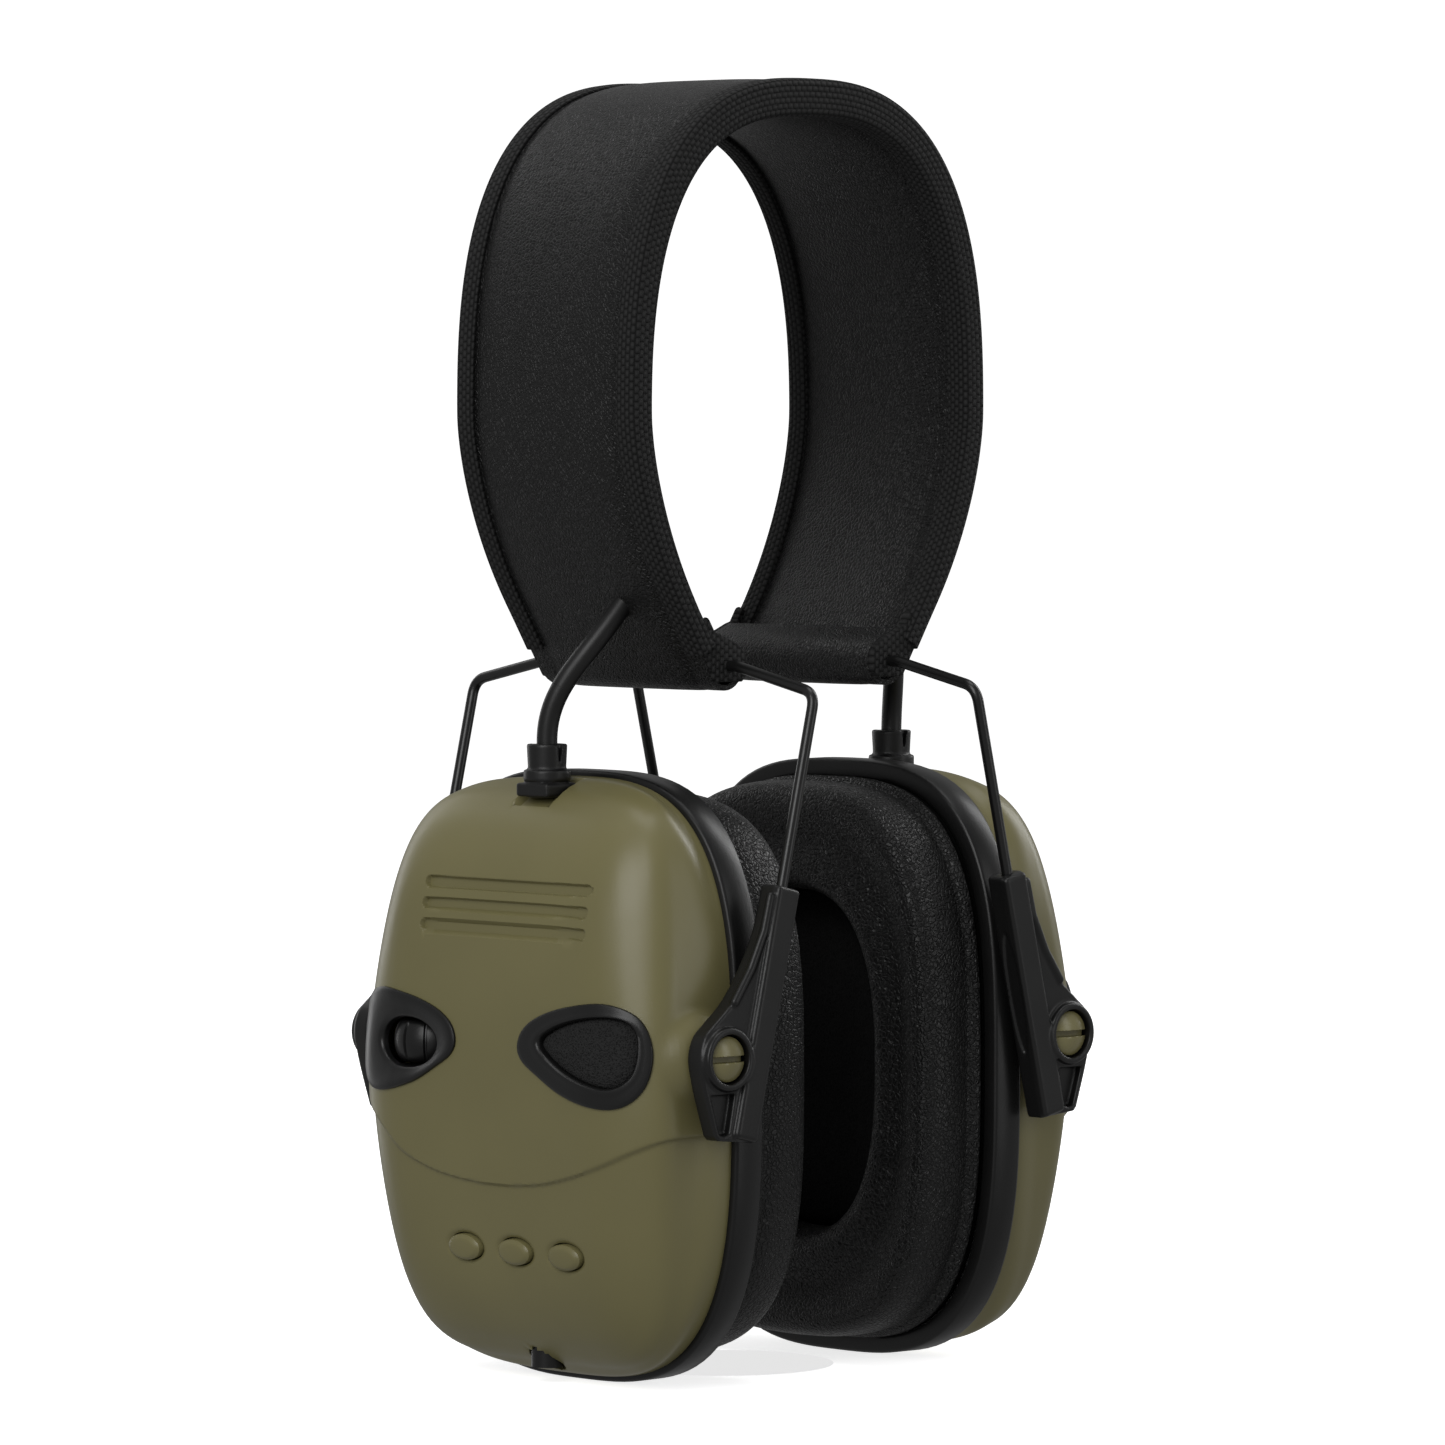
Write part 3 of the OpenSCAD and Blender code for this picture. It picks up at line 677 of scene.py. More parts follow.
def shell_relief(x, y, z, side):
    """How far the shell's face stands in (-) or out (+) at (y, z)."""
    lift = -STEP_DROP * smooth_step(0.35, -0.35, z - np.interp(y, step_line[:, 0], step_line[:, 1]))
    lift = lift * smooth_step(36, 43, x)
    for slot_z in SLOT_Z:
        reach = np.hypot(np.maximum(np.abs(y - SLOT_Y) - (SLOT_HALF - SLOT_R), 0), z - slot_z) - SLOT_R
        lift = lift - SLOT_DEPTH * smooth_step(0.12, -0.12, reach)
    if side == RIGHT:
        for button_y in BUTTON_Y:
            gap = oval_distance(y, z, (button_y, BUTTON_Z), BUTTON_HALF)
            lift = lift - 0.4 * smooth_step(0.55, 0.05, gap)
    return lift


def stations(*runs):
    """Values from run to run, where each run is (start, spacing)."""
    out = []
    for (a, spacing), (b, _) in zip(runs[:-1], runs[1:]):
        out += list(np.linspace(a, b, max(1, round(abs(b - a) / spacing)) + 1)[:-1])
    return np.array(out + [runs[-1][0]])


def shell_grid():
    """Grid of places on the shell, denser where it has detail. s and t run from -1 to 1."""
    reach_y, reach_z = 60, 83
    slot_low, slot_high = SLOT_Y - SLOT_HALF, SLOT_Y + SLOT_HALF
    columns = [(-reach_y, 1.0), (-37, 0.8), (slot_low - 1, 0.2), (slot_low + 1.6, 0.5)]
    columns += [(slot_high - 1.6, 0.2), (slot_high + 1, 0.8), (DOOR[0], 0.8), (37, 1.0), (reach_y, 1)]
    rows = [(-reach_z, 1.2), (-46, 0.9), (-33.2, 0.4), (-31.6, 0.4), (-25.2, 0.7), (-19, 0.32)]
    rows += [(DOOR[2], 0.32), (-4, 0.9), (SLOT_Z[2] - 1.6, 0.3)]
    for slot_z in reversed(SLOT_Z):
        rows += [(slot_z - 1.3, 0.17), (slot_z - 0.5, 0.3), (slot_z + 0.5, 0.17), (slot_z + 1.3, 0.4)]
    rows += [(38, 0.9), (46, 1.2), (reach_z, 1)]
    return np.meshgrid(stations(*columns) / reach_y, stations(*rows) / reach_z, indexing="ij")


def shell_surface():
    """The shell's bare outer face over its grid, as x, y and z."""
    s, t = shell_grid()
    reach = np.maximum(np.abs(s), np.abs(t)) + 1e-9
    e = ring_exponent(reach)
    level = (np.abs(s) ** e + np.abs(t) ** e) ** (1 / e) + 1e-9
    s, t = s / level, t / level
    level *= 1 - smooth_step(0.6, 1, reach) * (1 - reach / level)
    e = ring_exponent(level)
    size = np.maximum(np.abs(s) ** e + np.abs(t) ** e, 1e-9) ** (-1 / e)
    z = shell_h(level) * size * t
    y = shell_w(level) * size * s * ring_taper(level, z)
    return shell_x(level) - shell_drop(level, z), y, z


def face_openings(side):
    """Outlines of the holes in the shell's face: the eyes and, on the right, the buttons."""
    front_eye = spline(EYE, 8) * [-1, 1]
    if side == LEFT:
        return [front_eye]
    return [front_eye, spline(EYE, 8)] + [oval((y, BUTTON_Z), BUTTON_HALF, 40) for y in BUTTON_Y]


def socket_opening(grid, faces, low):
    """Faces inside the round hole for the audio socket, whose rim is moved onto the circle."""
    across = grid[:, :2] - [BOOT_X, 0]
    inside = (np.linalg.norm(across[faces].mean(1), axis=1) < SOCKET_R) & low
    edge = np.intersect1d(faces[inside].ravel(), faces[~inside].ravel())
    grid[edge, :2] = [BOOT_X, 0] + SOCKET_R * unit(across[edge])
    return inside


def shell_piece(side):
    name = SIDES[side] + "_shell"
    x, y, z = shell_surface()
    faces = grid_faces(*y.shape)
    flat_y, flat_z = y.ravel(), z.ravel()
    mid_y, mid_z = flat_y[faces].mean(1), flat_z[faces].mean(1)
    gone = np.zeros(len(faces), bool)
    outer = x.ravel()[faces].mean(1) > FACE_X
    points_2d = np.stack([flat_y, flat_z], 1)
    for outline in face_openings(side):
        inside = (polygon_field(np.stack([mid_y, mid_z], -1), outline) < 0) & outer
        edge = np.intersect1d(faces[inside].ravel(), faces[~inside].ravel())
        points_2d[edge] = nearest_on(points_2d[edge], outline)
        gone |= inside
    if side == LEFT:
        gone |= (np.abs(mid_y) < DOOR[0]) & (mid_z > DOOR[1]) & (mid_z < DOOR[2]) & outer
    flat_y, flat_z = points_2d.T
    flat_x = x.ravel()
    moved = (flat_y != y.ravel()) | (flat_z != z.ravel())
    flat_x = np.where(moved, on_shell(flat_y, flat_z)[:, 0], flat_x)
    grid = np.stack([flat_x, flat_y, flat_z], 1)
    normal = grid_normals(np.stack([x, y, z], -1))
    grid += normal * shell_relief(flat_x, flat_y, flat_z, side)[:, None]
    grid = pivot_bosses(grid)
    grid = top_notch(grid)
    if side == RIGHT:
        gone |= socket_opening(grid, faces, mid_z < UNDERSIDE_Z)
    faces = faces[~gone]
    used = np.unique(faces)
    renumber = np.full(len(grid), -1)
    renumber[used] = np.arange(len(used))
    piece = add_piece(name, grid[used], renumber[faces], "shell_olive", side, closed=False)
    thicken(piece, WALL)
    finish_piece(piece, SIDES[side] + "_cup", name)


def grid_faces(rows, columns):
    """Quads of a grid whose rows run along y and columns along z, facing +x."""
    i, j = np.meshgrid(np.arange(rows - 1), np.arange(columns - 1), indexing="ij")
    a = (i * columns + j).ravel()
    return np.stack([a, a + columns, a + columns + 1, a + 1], 1)


def grid_normals(grid):
    du, dv = np.gradient(grid, axis=0), np.gradient(grid, axis=1)
    return unit(np.cross(du, dv)).reshape(-1, 3)


def nearest_on(points, outline):
    """Each point moved to the nearest place on a closed outline."""
    best, out = np.full(len(points), np.inf), points.copy()
    for a, b in zip(outline, np.roll(outline, -1, axis=0)):
        edge = b - a
        t = np.clip(((points - a) @ edge) / (edge @ edge + TINY), 0, 1)
        near = a + t[:, None] * edge
        gap = np.linalg.norm(points - near, axis=1)
        out = np.where((gap < best)[:, None], near, out)
        best = np.minimum(best, gap)
    return out


def pivot_bosses(grid):
    """Round bosses on the shell's front and rear walls, that the pivot screws go into."""
    wall_y = 30
    gap = np.hypot(grid[:, 0] - PIVOT[0], grid[:, 2] - PIVOT[1])
    rise = smooth_step(8.6, 4.4, gap)
    top = np.sign(grid[:, 1]) * BOSS_Y
    grid[:, 1] += np.where(np.abs(grid[:, 1]) > wall_y, rise * (top - grid[:, 1]), 0)
    return grid


def top_notch(grid):
    """Shallow square seat at the top for the cable boot."""
    depth, upper_z = 1.6, 40
    x, y, z = grid.T
    inside = smooth_step(4.9, 4.3, np.abs(y)) * smooth_step(46.6, 46.0, x) * smooth_step(37.6, 38.2, x)
    grid[:, 2] -= np.where(z > upper_z, depth * inside, 0)
    return grid


# ---- Rims, cushions and liners ----


# The rim's section: x, half-width, half-height and exponent of each ring.
RIM = [(28.7, 40.1, 53.3, RIM_E), (28.85, 40.5, 53.7, RIM_E), (29.25, 40.75, 53.95, RIM_E),
       (34.5, 40.8, 54, RIM_E), (34.95, 40.65, 53.85, RIM_E), (35.2, 40.3, 53.5, RIM_E),
       (35.2, 39.2, 52.8, RIM_E), (35.15, 30, 40, RIM_E), (35.2, 20.4, 20.4, 2), (33.2, 20.4, 20.4, 2),
       (33.2, 37.6, 50.8, RIM_E), (29.0, 37.6, 50.8, RIM_E), (28.75, 37.85, 51.05, RIM_E),
       (28.7, 38.3, 51.5, RIM_E)]


def rim_piece(side):
    """Rim and baffle in one loop: outer wall, baffle out to the speaker's hole, and back down inside."""
    name = SIDES[side] + "_rim"
    rings = [in_x(superellipse(w, h, e), x) for x, w, h, e in RIM]
    points, faces = lofted(rings, around=True)
    piece = add_piece(name, points, faces, "rim_black", side)
    finish_piece(piece, SIDES[side] + "_cup", name)


# Section of the ear cushion from the ear opening round to its seam at the rim: share of the way
# to the outer edge, x, and how firmly it is held while it swells.
CUSHION = [(0.03, 28.3, 1), (0.0, 26.5, 1), (-0.01, 22.5, 0.3), (-0.005, 19.2, 0), (0.01, 17.0, 0),
           (0.035, 15.4, 0), (0.07, 14.4, 0), (0.115, 13.9, 0), (0.17, 13.85, 0), (0.24, 14.2, 0),
           (0.32, 14.75, 0.1), (0.40, 15.15, 0.3), (0.47, 15.3, 0.5), (0.54, 15.2, 0.3), (0.62, 14.85, 0.1),
           (0.70, 14.45, 0), (0.77, 14.15, 0), (0.825, 14.1, 0), (0.87, 14.4, 0), (0.905, 15.2, 0),
           (0.93, 16.6, 0), (0.945, 18.8, 0), (0.95, 21.4, 0.2), (0.945, 23.6, 0.6), (0.925, 24.9, 1),
           (0.925, 25.3, 1), (0.955, 25.7, 1), (0.985, 26.3, 1), (0.995, 27.2, 1), (0.98, 28.3, 1)]
CUSHION_POINTS = 132
CUSHION_PRESSURE = 5.0
CUSHION_SWELL = 1.0
# The ear opening's half-width, half-height and exponent, and the cushion's outer half-width and half-height.
OPENING = (23, 31, 2.6)
CUSHION_HALF = (38.4, 51.2)


def inflate(piece, pinned, pressure, cap):
    """Swells a closed mesh like a stuffed leather case, by the cap in millimetres at most.
    pinned holds a weight for each point. The cloth is worked out on an enlarged copy."""
    grow, frames = 10, 16
    start = np.array([v.co for v in piece.data.vertices])
    work = piece.copy()
    work.data = piece.data.copy()
    bpy.context.scene.collection.objects.link(work)
    for v, p in zip(work.data.vertices, start):
        v.co = p * grow
    group = work.vertex_groups.new(name="pin")
    for i, weight in enumerate(pinned):
        if weight > 0:
            group.add([i], float(weight), "REPLACE")
    cloth = work.modifiers.new("cloth", "CLOTH")
    settings = cloth.settings
    settings.quality = 6
    settings.mass = 0.25
    settings.tension_stiffness = 25
    settings.compression_stiffness = 12
    settings.shear_stiffness = 8
    settings.bending_stiffness = 2.5
    settings.vertex_group_mass = "pin"
    settings.pin_stiffness = 2.0
    settings.use_pressure = True
    settings.uniform_pressure_force = pressure
    settings.effector_weights.gravity = 0
    cloth.collision_settings.use_collision = False
    scene = bpy.context.scene
    scene.frame_start, scene.frame_end = 1, frames
    for f in range(1, frames + 1):
        scene.frame_set(f)
    view = bpy.context.evaluated_depsgraph_get()
    swollen = np.array([v.co for v in work.evaluated_get(view).data.vertices]) / grow
    move = swollen - start
    far = np.linalg.norm(move, axis=1)
    move *= np.minimum(1, cap * MM / np.maximum(far, 1e-9))[:, None]
    for v, p in zip(piece.data.vertices, start + move):
        v.co = p
    bpy.data.objects.remove(work)
    scene.frame_set(1)


def cushion_piece(side):
    name = SIDES[side] + "_cushion"
    inner = superellipse(*OPENING, CUSHION_POINTS)
    outer = superellipse(*CUSHION_HALF, RIM_E, CUSHION_POINTS)
    rings = [in_x(inner + f * (outer - inner), x) for f, x, _ in CUSHION]
    points, faces = lofted(rings, around=True)
    piece = add_piece(name, points, faces, "cushion_leather", side, sharp=180)
    hold = np.repeat([h for _, _, h in CUSHION], CUSHION_POINTS)
    inflate(piece, hold, CUSHION_PRESSURE, CUSHION_SWELL)
    subdivide(piece)
    piece.data.set_sharp_from_angle(angle=math.radians(80))
    finish_piece(piece, SIDES[side] + "_cup", name)


def liner_piece(side):
    """Foam sheet that fills the ear opening, given as shares of its outline and their heights."""
    name = SIDES[side] + "_foam_liner"
    gap = 0.4
    shares = (1.0, 1.0, 0.985, 0.95, 0.86, 0.7, 0.5, 0.3, 0.12)
    heights = (30.9, 26.6, 26.0, 25.7, 25.65, 25.85, 26.1, 26.2, 26.25)
    half_w, half_h, exponent = OPENING[0] - gap, OPENING[1] - gap, OPENING[2]
    rings = [in_x(superellipse(half_w * f, half_h * f, exponent, 72), x) for f, x in zip(shares, heights)]
    points, faces = lofted(rings)
    piece = add_piece(name, points, faces, "liner_foam", side)
    finish_piece(piece, SIDES[side] + "_cup", name)


# ---- Eyes: bezels, foam and the volume wheel ----

EYE_POINTS = 112
MIC_WINDOW_AT = np.array([25.5, 6.6])
WHEEL_AT = (49.4, 22.6, 5.8)
WHEEL_TEETH = 10
WHEEL_GROOVE = 0.5
WHEEL_WINDOW_AT = np.array([22, 5.8])
WHEEL_WINDOW_HALF = (8.0, 4.4)


def ring_about(outline, centre):
    """A closed outline cut at even angles round a centre."""
    fine = resampled(outline, 2400, closed=True) - centre
    angle = np.arctan2(fine[:, 1], fine[:, 0])
    order = np.argsort(angle)
    want = np.linspace(-math.pi, math.pi, EYE_POINTS + 1)[:-1] + 1e-4
    size = np.interp(want, angle[order], np.hypot(*fine[order].T), period=2 * math.pi)
    return centre + np.stack([size * np.cos(want), size * np.sin(want)], 1)


def mic_window():
    return ring_about(spline(MIC_WINDOW, 10), MIC_WINDOW_AT)


def wheel_window():
    return ring_about(oval(WHEEL_WINDOW_AT, WHEEL_WINDOW_HALF, 399), WHEEL_WINDOW_AT)


def on_face(outline, lift):
    """A (y, z) outline laid on the shell's face at a lift."""
    return on_shell(outline[:, 0], outline[:, 1], np.broadcast_to(lift, len(outline)))


def bezel_piece(name, side, turn_over, window, centre, section):
    """Ring between the eye's outline and its window. section holds (share inward, lift) pairs."""
    outer = ring_about(spline(EYE, 12), centre)
    rings = [on_face((outer + share * (window - outer)) * turn_over, lift) for share, lift in section]
    points, faces = lofted(rings, around=True)
    piece = add_piece(name, points, faces, "control_black", side)
    finish_piece(piece, SIDES[side] + "_cup", name)


# Eyes are drawn for the rear and turned over for the front.
FRONT, REAR = np.array([-1, 1]), np.array([1, 1])
MIC_SECTION = [(-0.02, -2.4), (-0.03, -0.3), (-0.045, 0.05), (-0.03, 0.42), (0.04, 0.66), (0.16, 0.74),
               (0.45, 0.78), (0.66, 0.86), (0.80, 0.98), (0.90, 0.92), (0.97, 0.6), (1.0, 0.1), (1.0, -1.2),
               (0.98, -2.4)]
WHEEL_SECTION = [(-0.02, -2.0), (-0.03, -0.3), (-0.04, 0.05), (-0.025, 0.4), (0.04, 0.62), (0.15, 0.66),
                 (0.35, 0.5), (0.55, 0.22), (0.72, -0.06), (0.84, -0.22), (0.93, -0.38), (0.985, -0.7),
                 (1.0, -1.1), (1.0, -1.9)]


def mic_foam_piece(side):
    """Foam windscreen: a low crown of (share of the window, lift) rings with small lumps."""
    name = SIDES[side] + "_mic_foam"
    window = mic_window()
    rings = []
    for share, lift in ((1.03, -3.2), (1.03, -1.2), (1.0, -0.6), (0.93, -0.15), (0.8, 0.02), (0.6, 0.1),
                        (0.4, 0.14), (0.2, 0.16), (0.05, 0.17)):
        outline = (MIC_WINDOW_AT + share * (window - MIC_WINDOW_AT)) * FRONT
        y, z = outline.T
        rings.append(on_face(outline, lift + 0.05 * np.sin(y * 5.3 + z * 2.1) * np.cos(z * 4.7)))
    points, faces = lofted(rings)
    piece = add_piece(name, points, faces, "mic_foam", side)
    finish_piece(piece, SIDES[side] + "_cup", name)


def wheel_piece():
    """Barrel-shaped thumbwheel with wide flats between narrow grooves.
    Its upper half is listed as (height, radius, how deep the grooves run) and mirrored."""
    turn = full_turn(360)
    phase = (turn * WHEEL_TEETH / (2 * math.pi)) % 1
    groove = smooth_step(0.085, 0.03, np.minimum(phase, 1 - phase))
    half = [(0, 6.9, 1), (1.0, 6.83, 1), (2.0, 6.6, 1), (3.0, 6.15, 0.8), (3.55, 5.7, 0.3), (3.7, 5.3, 0),
            (3.7, 1.6, 0)]
    rings = []
    for z, r, cut in [(-z, r, cut) for z, r, cut in reversed(half[1:])] + half:
        x, y = (r - WHEEL_GROOVE * cut * groove) * [np.cos(turn), np.sin(turn)]
        rings.append(np.column_stack([x, y, np.full(len(turn), z)]) + WHEEL_AT)
    points, faces = lofted(rings, around=True)
    piece = add_piece("volume_wheel", points, faces, "control_black", RIGHT, sharp=50)
    finish_piece(piece, "volume_wheel", "volume_wheel")


def button_piece(name, button_y):
    """Oval button with a bevelled edge, as (share of its size, lift) rings."""
    half = np.array(BUTTON_HALF) - BUTTON_GAP
    rings = []
    for size, lift in ((1.0, -2.6), (0.97, -0.6), (0.965, 0.15), (0.95, 0.45), (0.90, 0.62), (0.74, 0.95),
                       (0.70, 1.0), (0.5, 1.06), (0.25, 1.1), (0.04, 1.11)):
        rings.append(on_face(oval((button_y, BUTTON_Z), size * half, 56), lift - STEP_DROP))
    points, faces = lofted(rings)
    piece = add_piece(name, points, faces, "button_olive", RIGHT, sharp=25)
    finish_piece(piece, name, name)


# ---- Battery door ----


def door_piece():
    """Panel of the same face as the shell, with a thumb dip, and a hinge barrel along its lower edge."""
    gap, wall = 0.2, 1.9
    half_y, low, high = DOOR[0] - gap, DOOR_LOW, DOOR[2] - gap
    y = np.linspace(-half_y, half_y, 96)
    z = np.linspace(low, high, 84)
    grid_y, grid_z = np.meshgrid(y, z, indexing="ij")
    x = shell_height(grid_y, grid_z)
    grid = np.stack([x, grid_y, grid_z], -1)
    edge = np.minimum(half_y - np.abs(grid_y), np.minimum(grid_z - low, high - grid_z))
    relief = shell_relief(x, grid_y, grid_z, LEFT) - 0.25 * smooth_step(0.4, 0, edge)
    thumb = np.hypot(grid_y / 7.0, (grid_z - high + 3.4) / 2.2)
    relief = relief - 0.7 * smooth_step(1.0, 0.55, thumb)
    outer = grid.reshape(-1, 3) + grid_normals(grid) * relief.reshape(-1, 1)
    piece = add_piece("battery_door", outer, grid_faces(*grid_y.shape), "shell_olive", closed=False)
    thicken(piece, wall)
    finish_piece(piece, "battery_door", "battery_door")
    x, z, r = DOOR_PIN
    ends = ((-half_y, 0.85 * r), (-half_y + 0.2, r), (half_y - 0.2, r), (half_y, 0.85 * r))
    barrel = add_piece("battery_door_barrel", *turned(ends, (x, 0, z)), "shell_olive")
    finish_piece(barrel, "battery_door")


# ---- Cable boots and leads ----

LEAD_R = 1.85
LEAD_ROUTE = np.array([[BOOT_X, 0, 58.95], [42.8, 0, 69.4], [38.8, -6.4, 73.7], [31, -8, 84.3]])


def boot_field(p):
    """Slightly tapered sleeve with a collar and a square foot, and a V cut at each side of its top."""
    q = p - [BOOT_X, 0, 0]
    r = np.hypot(q[..., 0], q[..., 1])
    body = slab(r - 3.35 - 0.05 * (p[..., 2] - 54), p[..., 2], 49.5, 58.85, 0.35)
    collar = slab(r - 4.15, p[..., 2], 52.4, 54.3, 0.35)
    seat = box_field(q - [0, 0, 50.8], (3.8, 4.1, 1.2), 0.5)
    whole = soft_union(soft_union(body, collar, 0.6), seat, 0.8)
    for s in (-1, 1):
        notch = q - [0, s * 3.9, 58.4]
        wedge = polygon_field(notch[..., [0, 2]], [[-1.0, 2], [1.0, 2], [0.15, -2.6], [-0.15, -2.6]])
        whole = soft_cut(whole, slab(wedge, notch[..., 1], -1.4, 1.4, 0.1), 0.25)
    return whole


def boot_piece(side):
    name = SIDES[side] + "_cable_boot"
    points, faces = field_solid(boot_field, (37, -5, 49), (48, 5, 59.2), 0.28)
    piece = add_piece(name, points, faces, "cable_rubber", side)
    finish_piece(piece, SIDES[side] + "_cup", name)


def lead_path():
    """The Bezier curve of the route's four points, run on a little into the boot and the band."""
    a, b, c, d = LEAD_ROUTE
    t = np.linspace(-0.03, 1.03, 200)[:, None]
    curve = (1 - t) ** 3 * a + 3 * t * (1 - t) ** 2 * b + 3 * t**2 * (1 - t) * c + t**3 * d
    return resampled(curve, 60)


def lead_pieces(side):
    """The lead in three lengths between band and cup."""
    path = lead_path()
    word = SIDES[side]
    lengths = [("cup", 0, 22, word + "_slider", word + "_cup"),
               ("slide", 21, 40, word + "_hanger", word + "_slider"),
               ("band", 39, 60, "root", word + "_hanger")]
    for part, first, last, upper, lower in lengths:
        points, faces = swept(path[first:last], LEAD_R, 24)
        piece = add_piece(f"{word}_lead_{part}", points, faces, "cable_rubber", side)
        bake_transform(piece)
        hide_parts(word + "_lead")


# ---- Wire frames, yokes and pivot screws ----

# Crossbar of the wire and the bend under it as (x, z), and the way its legs run down from there.
BAR = (19.8, 72.6)
BEND = np.array([19.9, 68.4])
LEG_DIR = np.array([0.2316, -0.9728])
LEG_SIDE = np.array([0.9728, 0.2316])
LEG_Y = 44.3
LEG_LEN = 62
WIRE_R = 0.98
WIRE_BEND_R = 3.4
KNEE_Y = 24.5


def leg_at(d):
    return BEND + LEG_DIR * d


def rounded_path(corners, radius, steps=10):
    """A polyline with each inner corner turned into an arc."""
    corners = np.asarray(corners, float)
    out = [corners[0]]
    for a, b, c in zip(corners[:-2], corners[1:-1], corners[2:]):
        u, v = unit(a - b), unit(c - b)
        half = math.acos(np.clip(u.dot(v), -1, 1)) / 2
        back = min(radius / math.tan(half), np.linalg.norm(a - b) * 0.48, np.linalg.norm(c - b) * 0.48)
        start, stop = b + u * back, b + v * back
        for t in np.linspace(0, 1, steps):
            out.append((1 - t) ** 2 * start + 2 * t * (1 - t) * b + t**2 * stop)
    out.append(corners[-1])
    return np.array(out)


def wire_piece(side):
    name = SIDES[side] + "_wire_frame"
    foot = leg_at(LEG_LEN)
    half = [[foot[0], LEG_Y, foot[1]], [BEND[0], LEG_Y, BEND[1]], [BAR[0], KNEE_Y, BAR[1]]]
    corners = half + [[x, -y, z] for x, y, z in reversed(half)]
    points, faces = swept(rounded_path(corners, WIRE_BEND_R), WIRE_R)
    piece = add_piece(name, points, faces, "wire_black", side)
    finish_piece(piece, SIDES[side] + "_hanger", name)


# A yoke's y range, its ends along the wire's leg, its boss, and the screw's head in it.
YOKE_IN, YOKE_OUT = 41.7, 46.4
YOKE_TOP, YOKE_END = 34.5, 79
YOKE_HALF = 2.6
BOSS_R = 5.5
HEAD_R = 4.0
HEAD_SEAT = 44.6
SCREW_HOLE_R = 2.05


def yoke_outline():
    """Side view of a yoke: along the leg at the back, and out to the pivot at the front."""
    top, end, half = leg_at(YOKE_TOP), leg_at(YOKE_END), YOKE_HALF * LEG_SIDE
    outer = spline([top + half, [31.9, 30.5], [34.0, 25.2], [37.3, 19.6], [40.8, 15.2], [44.6, 12.0],
                    [47.2, 9.6], [48.2, 5.8], [47.2, 0.5], [44.6, -7.6]], 5, closed=False)
    return np.vstack([outer, [43.9, -8.3], end - half, top - half])


def yoke_field(p):
    """Web, wire tube, boss ring and rib, less the screw's seat and hole, a V-shaped recess under the
    boss, a shallow leaf in the tube's side, and the wire's bore."""
    flat = p[..., [0, 2]]
    y = p[..., 1]
    web = slab(polygon_field(flat, YOKE_OUTLINE), y, YOKE_IN + 0.3, YOKE_OUT - 0.9, 0.4)
    off = flat - BEND
    along, across = off @ LEG_DIR, off @ LEG_SIDE
    mid = (YOKE_TOP + YOKE_END) / 2
    tube_at = np.stack([along - mid, across, y - 44.1], -1)
    tube = box_field(tube_at, ((YOKE_END - YOKE_TOP) / 2, 2.65, 2.5), 0.75)
    gap = np.hypot(p[..., 0] - PIVOT[0], p[..., 2] - PIVOT[1])
    boss = slab(gap - BOSS_R, y, YOKE_IN, YOKE_OUT + 0.5, 0.5)
    whole = soft_union(soft_union(web, tube, 0.5), boss, 0.7)
    rib_line = np.array([[31.6, 33.5], [33.2, 27.5], [36.4, 21.0], [40.2, 15.6]])
    rib = np.full(y.shape, 99.0)
    for a, b in zip(rib_line[:-1], rib_line[1:]):
        t = np.clip(((flat - a) @ (b - a)) / ((b - a) @ (b - a)), 0, 1)
        rib = np.minimum(rib, np.linalg.norm(flat - a - t[..., None] * (b - a), axis=-1))
    whole = soft_union(whole, np.hypot(rib, y - YOKE_OUT + 1.0) - 0.75, 0.5)
    whole = soft_cut(whole, slab(gap - HEAD_R - 0.35, y, HEAD_SEAT - 0.1, 52, 0.2), 0.3)
    whole = soft_cut(whole, slab(gap - SCREW_HOLE_R, y, 38, 52, 0.1), 0.1)
    notch = [[40.3, -0.6], [45.6, -0.6], [43.6, -7.0], [42.6, -7.3], [41.6, -7.0]]
    whole = soft_cut(whole, slab(polygon_field(flat, notch) - 0.2, y, 43.9, 52, 0.3), 0.4)
    leaf = np.hypot((along - 56) / 11, (y - 44.0) / 1.5) - 1
    whole = soft_cut(whole, np.maximum(leaf * 1.5, np.abs(across + 2.75) - 0.4), 0.3)
    return soft_cut(whole, slab(np.hypot(across, y - LEG_Y) - 1.05, along, 20, YOKE_END - 2.5, 0.05), 0.05)


YOKE_OUTLINE = yoke_outline()


def yoke_pieces(side):
    points, faces = field_solid(yoke_field, (24, 41, -10.5), (50, 47.5, 36.5), 0.3)
    for word, flip in (("rear", 1), ("front", -1)):
        name = f"{SIDES[side]}_{word}_yoke"
        piece = add_piece(name, points * [1, flip, 1], faces, "yoke_black", side, sharp=60)
        finish_piece(piece, SIDES[side] + "_slider", name)


def screw_field(p):
    """Domed slotted head, shoulder and shank."""
    gap = np.hypot(p[..., 0] - PIVOT[0], p[..., 2] - PIVOT[1])
    y = p[..., 1]
    dome = np.sqrt(gap**2 + (y - HEAD_SEAT + 4.9) ** 2) - 7.4
    head = np.maximum(slab(gap - HEAD_R + 0.05, y, HEAD_SEAT, 48, 0.25), dome)
    whole = np.minimum(head, slab(gap - 1.95, y, 41.5, HEAD_SEAT + 0.2, 0.05))
    whole = np.minimum(whole, slab(gap - 1.55, y, 34.5, 41.6, 0.1))
    slot = box_field(p - [PIVOT[0], HEAD_SEAT + 3.2, PIVOT[1]], (6, 2.7, 0.55), 0.05)
    return soft_cut(whole, slot, 0.12)


